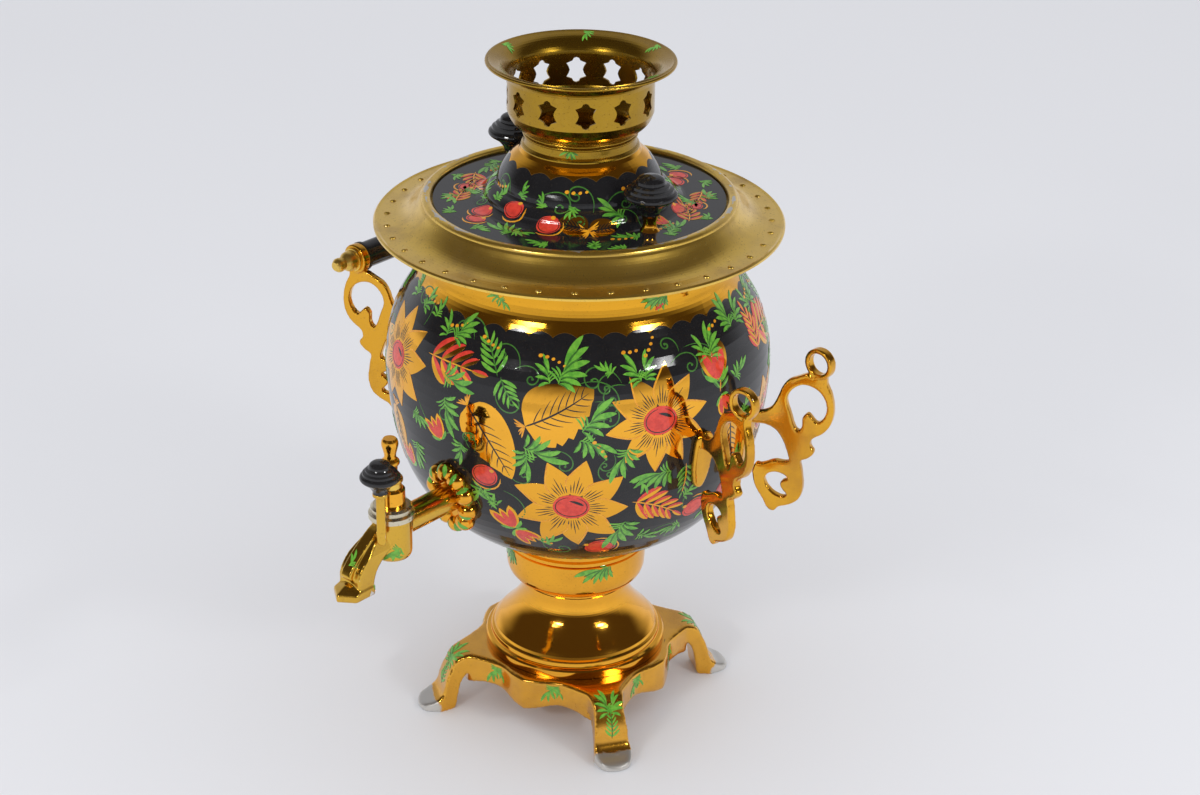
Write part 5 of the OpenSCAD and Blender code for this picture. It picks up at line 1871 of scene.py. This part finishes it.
@dataclass
class Handles:
    """The four openwork brackets and the one grip.

    Attributes:
        voxel: cell of the brackets' rounding in metres.
        passes: passes of their smoothing.
    """

    voxel: float = 0.00045
    passes: int = 16

    def dress(self) -> None:
        """Gives the grip and the small parts their finishes."""
        FINISHES.dress(BLACK_PLASTIC, "grip", "grip_ferrules")
        FINISHES.dress(OLIVE_BRASS, "grip_bushes", "grip_acorn_nuts")
        FINISHES.dress(BARE_STEEL, "grip_rod", "bracket_nuts")

    def build(self) -> None:
        """Makes the rounded brackets and paints them."""
        brush = Ornament("bracket_paint", "urn", 31, 1.0)
        for name, way in (("left_front", -1), ("left_back", -1), ("right_front", 1), ("right_back", 1)):
            casting = RoundedCasting(
                f"bracket_{name}", "urn", "gold_metal", HANDLE_GOLD, self.voxel, self.passes
            )
            tree = tree_of(casting.build())
            for x, z, heading in ((0.112, 0.196, 200), (0.119, 0.166, 60), (0.126, 0.205, 80)):
                for face in (-1, 1):
                    origin = Vector((way * x, face * 0.2, z))
                    spot = CastPatch.aimed(tree, origin, Vector((0, -face, 0)), Vector((0, 0, 1)))
                    if spot:
                        brush.on(spot).tuft(0, 0, heading, 7, 1, 5)
        brush.build()


@dataclass
class Tap:
    """The tap with its rosette, lever and knob.

    Attributes:
        voxel: cell of the castings' rounding in metres.
        barrel_z: height of the barrel's axis in metres.
        lobes: number of the rosette's lobes.
        lobe_at: how far a stroke's place lies from the axis, across and up, in metres.
    """

    voxel: float = 0.00045
    barrel_z: float = 0.1637
    lobes: int = 14
    lobe_at: Point = (0.0125, 0.0185)

    def dress(self) -> None:
        """Gives the turned parts their finishes."""
        FINISHES.dress(WARM_GOLD, "tap_rosette")
        FINISHES.dress(TURNED_GOLD, "tap_gland", "tap_finial")
        FINISHES.dress(WORN_PLATE, "tap_bonnet")
        FINISHES.dress(OLIVE_BRASS, "tap_plug")
        FINISHES.dress(BLACK_PLASTIC, "tap_knob")
        FINISHES.dress(BARE_STEEL, "tap_knob_rivet", "tap_backnut")
        FINISHES.dress(RUBBER, "tap_gasket", "tap_packing")

    def build(self) -> None:
        """Makes the rounded castings and paints them."""
        body = RoundedCasting("tap_body", "urn", "gold_metal", TAP_GOLD, self.voxel).build()
        RoundedCasting("tap_lever", "tap_key", "gold_metal", TAP_GOLD, 0.0003, 6, 0.0001).build()
        brush = Ornament("tap_paint", "urn", 37, 1.0)
        self.sprays(brush, tree_of(body))
        self.rosette(brush, tree_of(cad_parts["tap_rosette"]))
        brush.build()

    def sprays(self, brush: Ornament, tree: BVHTree) -> None:
        """Paints the sprays on the barrel, the spout and the nozzle.

        Args:
            brush: the brush.
            tree: the tap body's tree.
        """
        for way, up, where, heading, size in (
            ((1, 0, 0), (0, 0, 1), (0.1, -0.147, 0.156), 205, 12),
            ((-1, 0, 0), (0, 0, 1), (-0.1, -0.147, 0.156), -25, 12),
            ((1, 0, 0), (0, 0, 1), (0.1, -0.163, 0.140), 220, 8),
            ((-1, 0, 0), (0, 0, 1), (-0.1, -0.163, 0.140), -40, 8),
            ((0, -1, 0), (0, 0, 1), (0.0, -0.25, 0.132), 80, 8),
            ((0.8, -0.6, 0), (0, 0, 1), (0.1, -0.22, 0.154), -70, 9),
            ((-0.8, -0.6, 0), (0, 0, 1), (-0.1, -0.22, 0.154), -110, 9),
            ((0, -0.6, 0.8), (0, 0.8, 0.6), (0.0, -0.228, 0.225), 80, 11),
            ((0, -0.6, 0.8), (0, 0.8, 0.6), (0.0, -0.241, 0.204), 95, 8),
        ):
            spot = CastPatch.aimed(tree, Vector(where), -Vector(way), Vector(up))
            if spot:
                brush.on(spot).tuft(0, 0, heading, size, 1, 5)

    def rosette(self, brush: Ornament, tree: BVHTree) -> None:
        """Paints a stroke on each lobe of the rosette.

        Args:
            brush: the brush.
            tree: the rosette's tree.
        """
        across, high = self.lobe_at
        for k in range(self.lobes):
            a = math.radians(360 * k / self.lobes)
            c, s = math.cos(a), math.sin(a)
            origin = Vector((across * c, -0.16, self.barrel_z + high * s))
            spot = CastPatch.aimed(tree, origin, Vector((0, 1, 0)), Vector((0, 0, 1)))
            if spot:
                brush.on(spot).comma(-3 * c, -3 * s, math.degrees(a), 7.0, 2.5, 30, Paint.LIME, 0)


@dataclass
class Heater:
    """The heating tube inside and the inlet at the back."""

    def dress(self) -> None:
        """Gives the heater's pieces their finishes."""
        FINISHES.dress(BARE_STEEL, "heater_tube", "heater_flange", "heater_backnut", "inlet_pins")
        FINISHES.dress(RUBBER, "heater_gasket")
        FINISHES.dress(BLACK_PLASTIC, "inlet_shroud")

    def build(self) -> None:
        """Adds nothing: every piece is the CAD's own."""


# ---------------------------------------------------------------- studio


@dataclass
class Studio:
    """The floor, the light and the camera.

    Attributes:
        floor_r: radius of the floor in metres.
        lamp_far: distance of the lamps.
        lamp_up: their elevation in degrees.
        lamp_turns: their directions round the object in degrees.
        lamp_size: width and height of a lamp's core.
        lamp_halo: how much wider its soft rim is than the core.
        lamp_power: power of the core and of the rim in watts.
        wall: direction of the bright wall that the metal reflects.
        level: brightness of the surround.
        eye: place of the camera in metres.
        look: its rotation in radians.
        lens: its focal length in millimetres.
    """

    floor_r: float = 9.0
    lamp_far: float = 1.7
    lamp_up: float = 27.2
    lamp_turns: tuple[float, ...] = (-84.5, 1.0)
    lamp_size: tuple[float, float] = (0.34, 0.05)
    lamp_halo: float = 1.9
    lamp_power: float = 2.4
    wall: Point = (-0.656, 0.755)
    level: float = 0.88
    eye: tuple[float, float, float] = (0.77898, -0.89273, 0.76400)
    look: tuple[float, float, float] = (1.1167, -0.0139, 0.7138)
    lens: float = 71.97

    def build(self) -> None:
        """Makes the whole studio."""
        self.camera()
        self.floor()
        self.sky()
        for k, turn in enumerate(self.lamp_turns):
            self.lamp(f"softbox_{k}_core", turn, 1.0)
            self.lamp(f"softbox_{k}_rim", turn, self.lamp_halo)
        bpy.context.scene.view_settings.view_transform = "Standard"

    def camera(self) -> None:
        """Makes the camera."""
        data = bpy.data.cameras.new("camera")
        data.lens, data.sensor_width, data.sensor_fit = self.lens, 36.0, "HORIZONTAL"
        made = bpy.data.objects.new("camera", data)
        made.location, made.rotation_euler = self.eye, Euler(self.look, "XYZ")
        bpy.context.scene.collection.objects.link(made)
        bpy.context.scene.camera = made

    def floor(self) -> None:
        """Makes the plain pale floor that keeps the object's shadow."""
        steps = 96
        turns = [2 * math.pi * k / steps for k in range(steps)]
        ring = [(self.floor_r * math.cos(t), self.floor_r * math.sin(t), 0.0) for t in turns]
        mesh = bpy.data.meshes.new("floor")
        mesh.from_pydata(ring, [], [list(range(steps))])
        made = bpy.data.objects.new("floor", mesh)
        bpy.context.scene.collection.objects.link(made)
        look, graph, shader = material("floor")
        tint = graph.noise(place_of(graph), 1.3, 2.0)
        graph.feed(shader.inputs["Base Color"], graph.mix(tint, (0.80, 0.81, 0.84), (0.77, 0.78, 0.81)))
        shader.inputs["Roughness"].default_value = 0.7
        shader.inputs["Specular IOR Level"].default_value = 0.2
        mesh.materials.append(look)

    def sky(self) -> None:
        """Makes the pale surround, which is dark overhead only in reflections."""
        world = bpy.data.worlds.new("studio")
        world.use_nodes = True
        world.node_tree.nodes.clear()
        graph = Graph(world.node_tree)
        way = graph.node("SeparateXYZ", Vector=graph.node("TexCoord").outputs["Generated"]).outputs
        high = graph.step(way[2], 0.0, 0.3)
        ahead = graph.maths("MULTIPLY", way[1], self.wall[1])
        ahead = graph.maths("MULTIPLY_ADD", way[0], self.wall[0], ahead)
        wall = graph.maths("MULTIPLY", graph.step(ahead, 0.25, 0.72), 0.66)
        seen = graph.mix(high, (0.78, 0.79, 0.83), graph.mix(wall, (0.066, 0.050, 0.042), (0.70, 0.71, 0.75)))
        path = graph.node("LightPath").outputs
        plain = (self.level, self.level, self.level * 1.02)
        colour = graph.mix(path["Is Glossy Ray"], plain, seen)
        colour = graph.mix(path["Is Camera Ray"], colour, (0.80, 0.81, 0.84))
        shade = graph.node("Background", Color=colour)
        graph.tree.links.new(shade.outputs[0], graph.node("OutputWorld").inputs["Surface"])
        bpy.context.scene.world = world

    def lamp(self, name: str, turn: float, spread: float) -> None:
        """Makes one part of a softbox that faces the object.

        Args:
            name: its name.
            turn: its direction round the object in degrees.
            spread: its size as a multiple of the core's.
        """
        data = bpy.data.lights.new(name, "AREA")
        data.shape, data.size, data.size_y = "ELLIPSE", *(spread * side for side in self.lamp_size)
        data.energy = self.lamp_power
        made = bpy.data.objects.new(name, data)
        t, e = math.radians(turn), math.radians(self.lamp_up)
        far = Vector((math.cos(t) * math.cos(e), math.sin(t) * math.cos(e), math.sin(e))) * self.lamp_far
        made.location = far + Vector((0, 0, 0.2))
        made.rotation_euler = (-far).to_track_quat("-Z", "Y").to_euler()
        bpy.context.scene.collection.objects.link(made)


def main() -> None:
    """Builds the studio and every piece in order."""
    logging.basicConfig(level=logging.INFO, format="%(message)s")
    Studio().build()
    for piece in (Base(), Urn(), Lid(), Handles(), Tap(), Heater()):
        piece.dress()
        piece.build()
        LOG.info("%s is ready", type(piece).__name__)


if __name__ == "__main__":
    main()
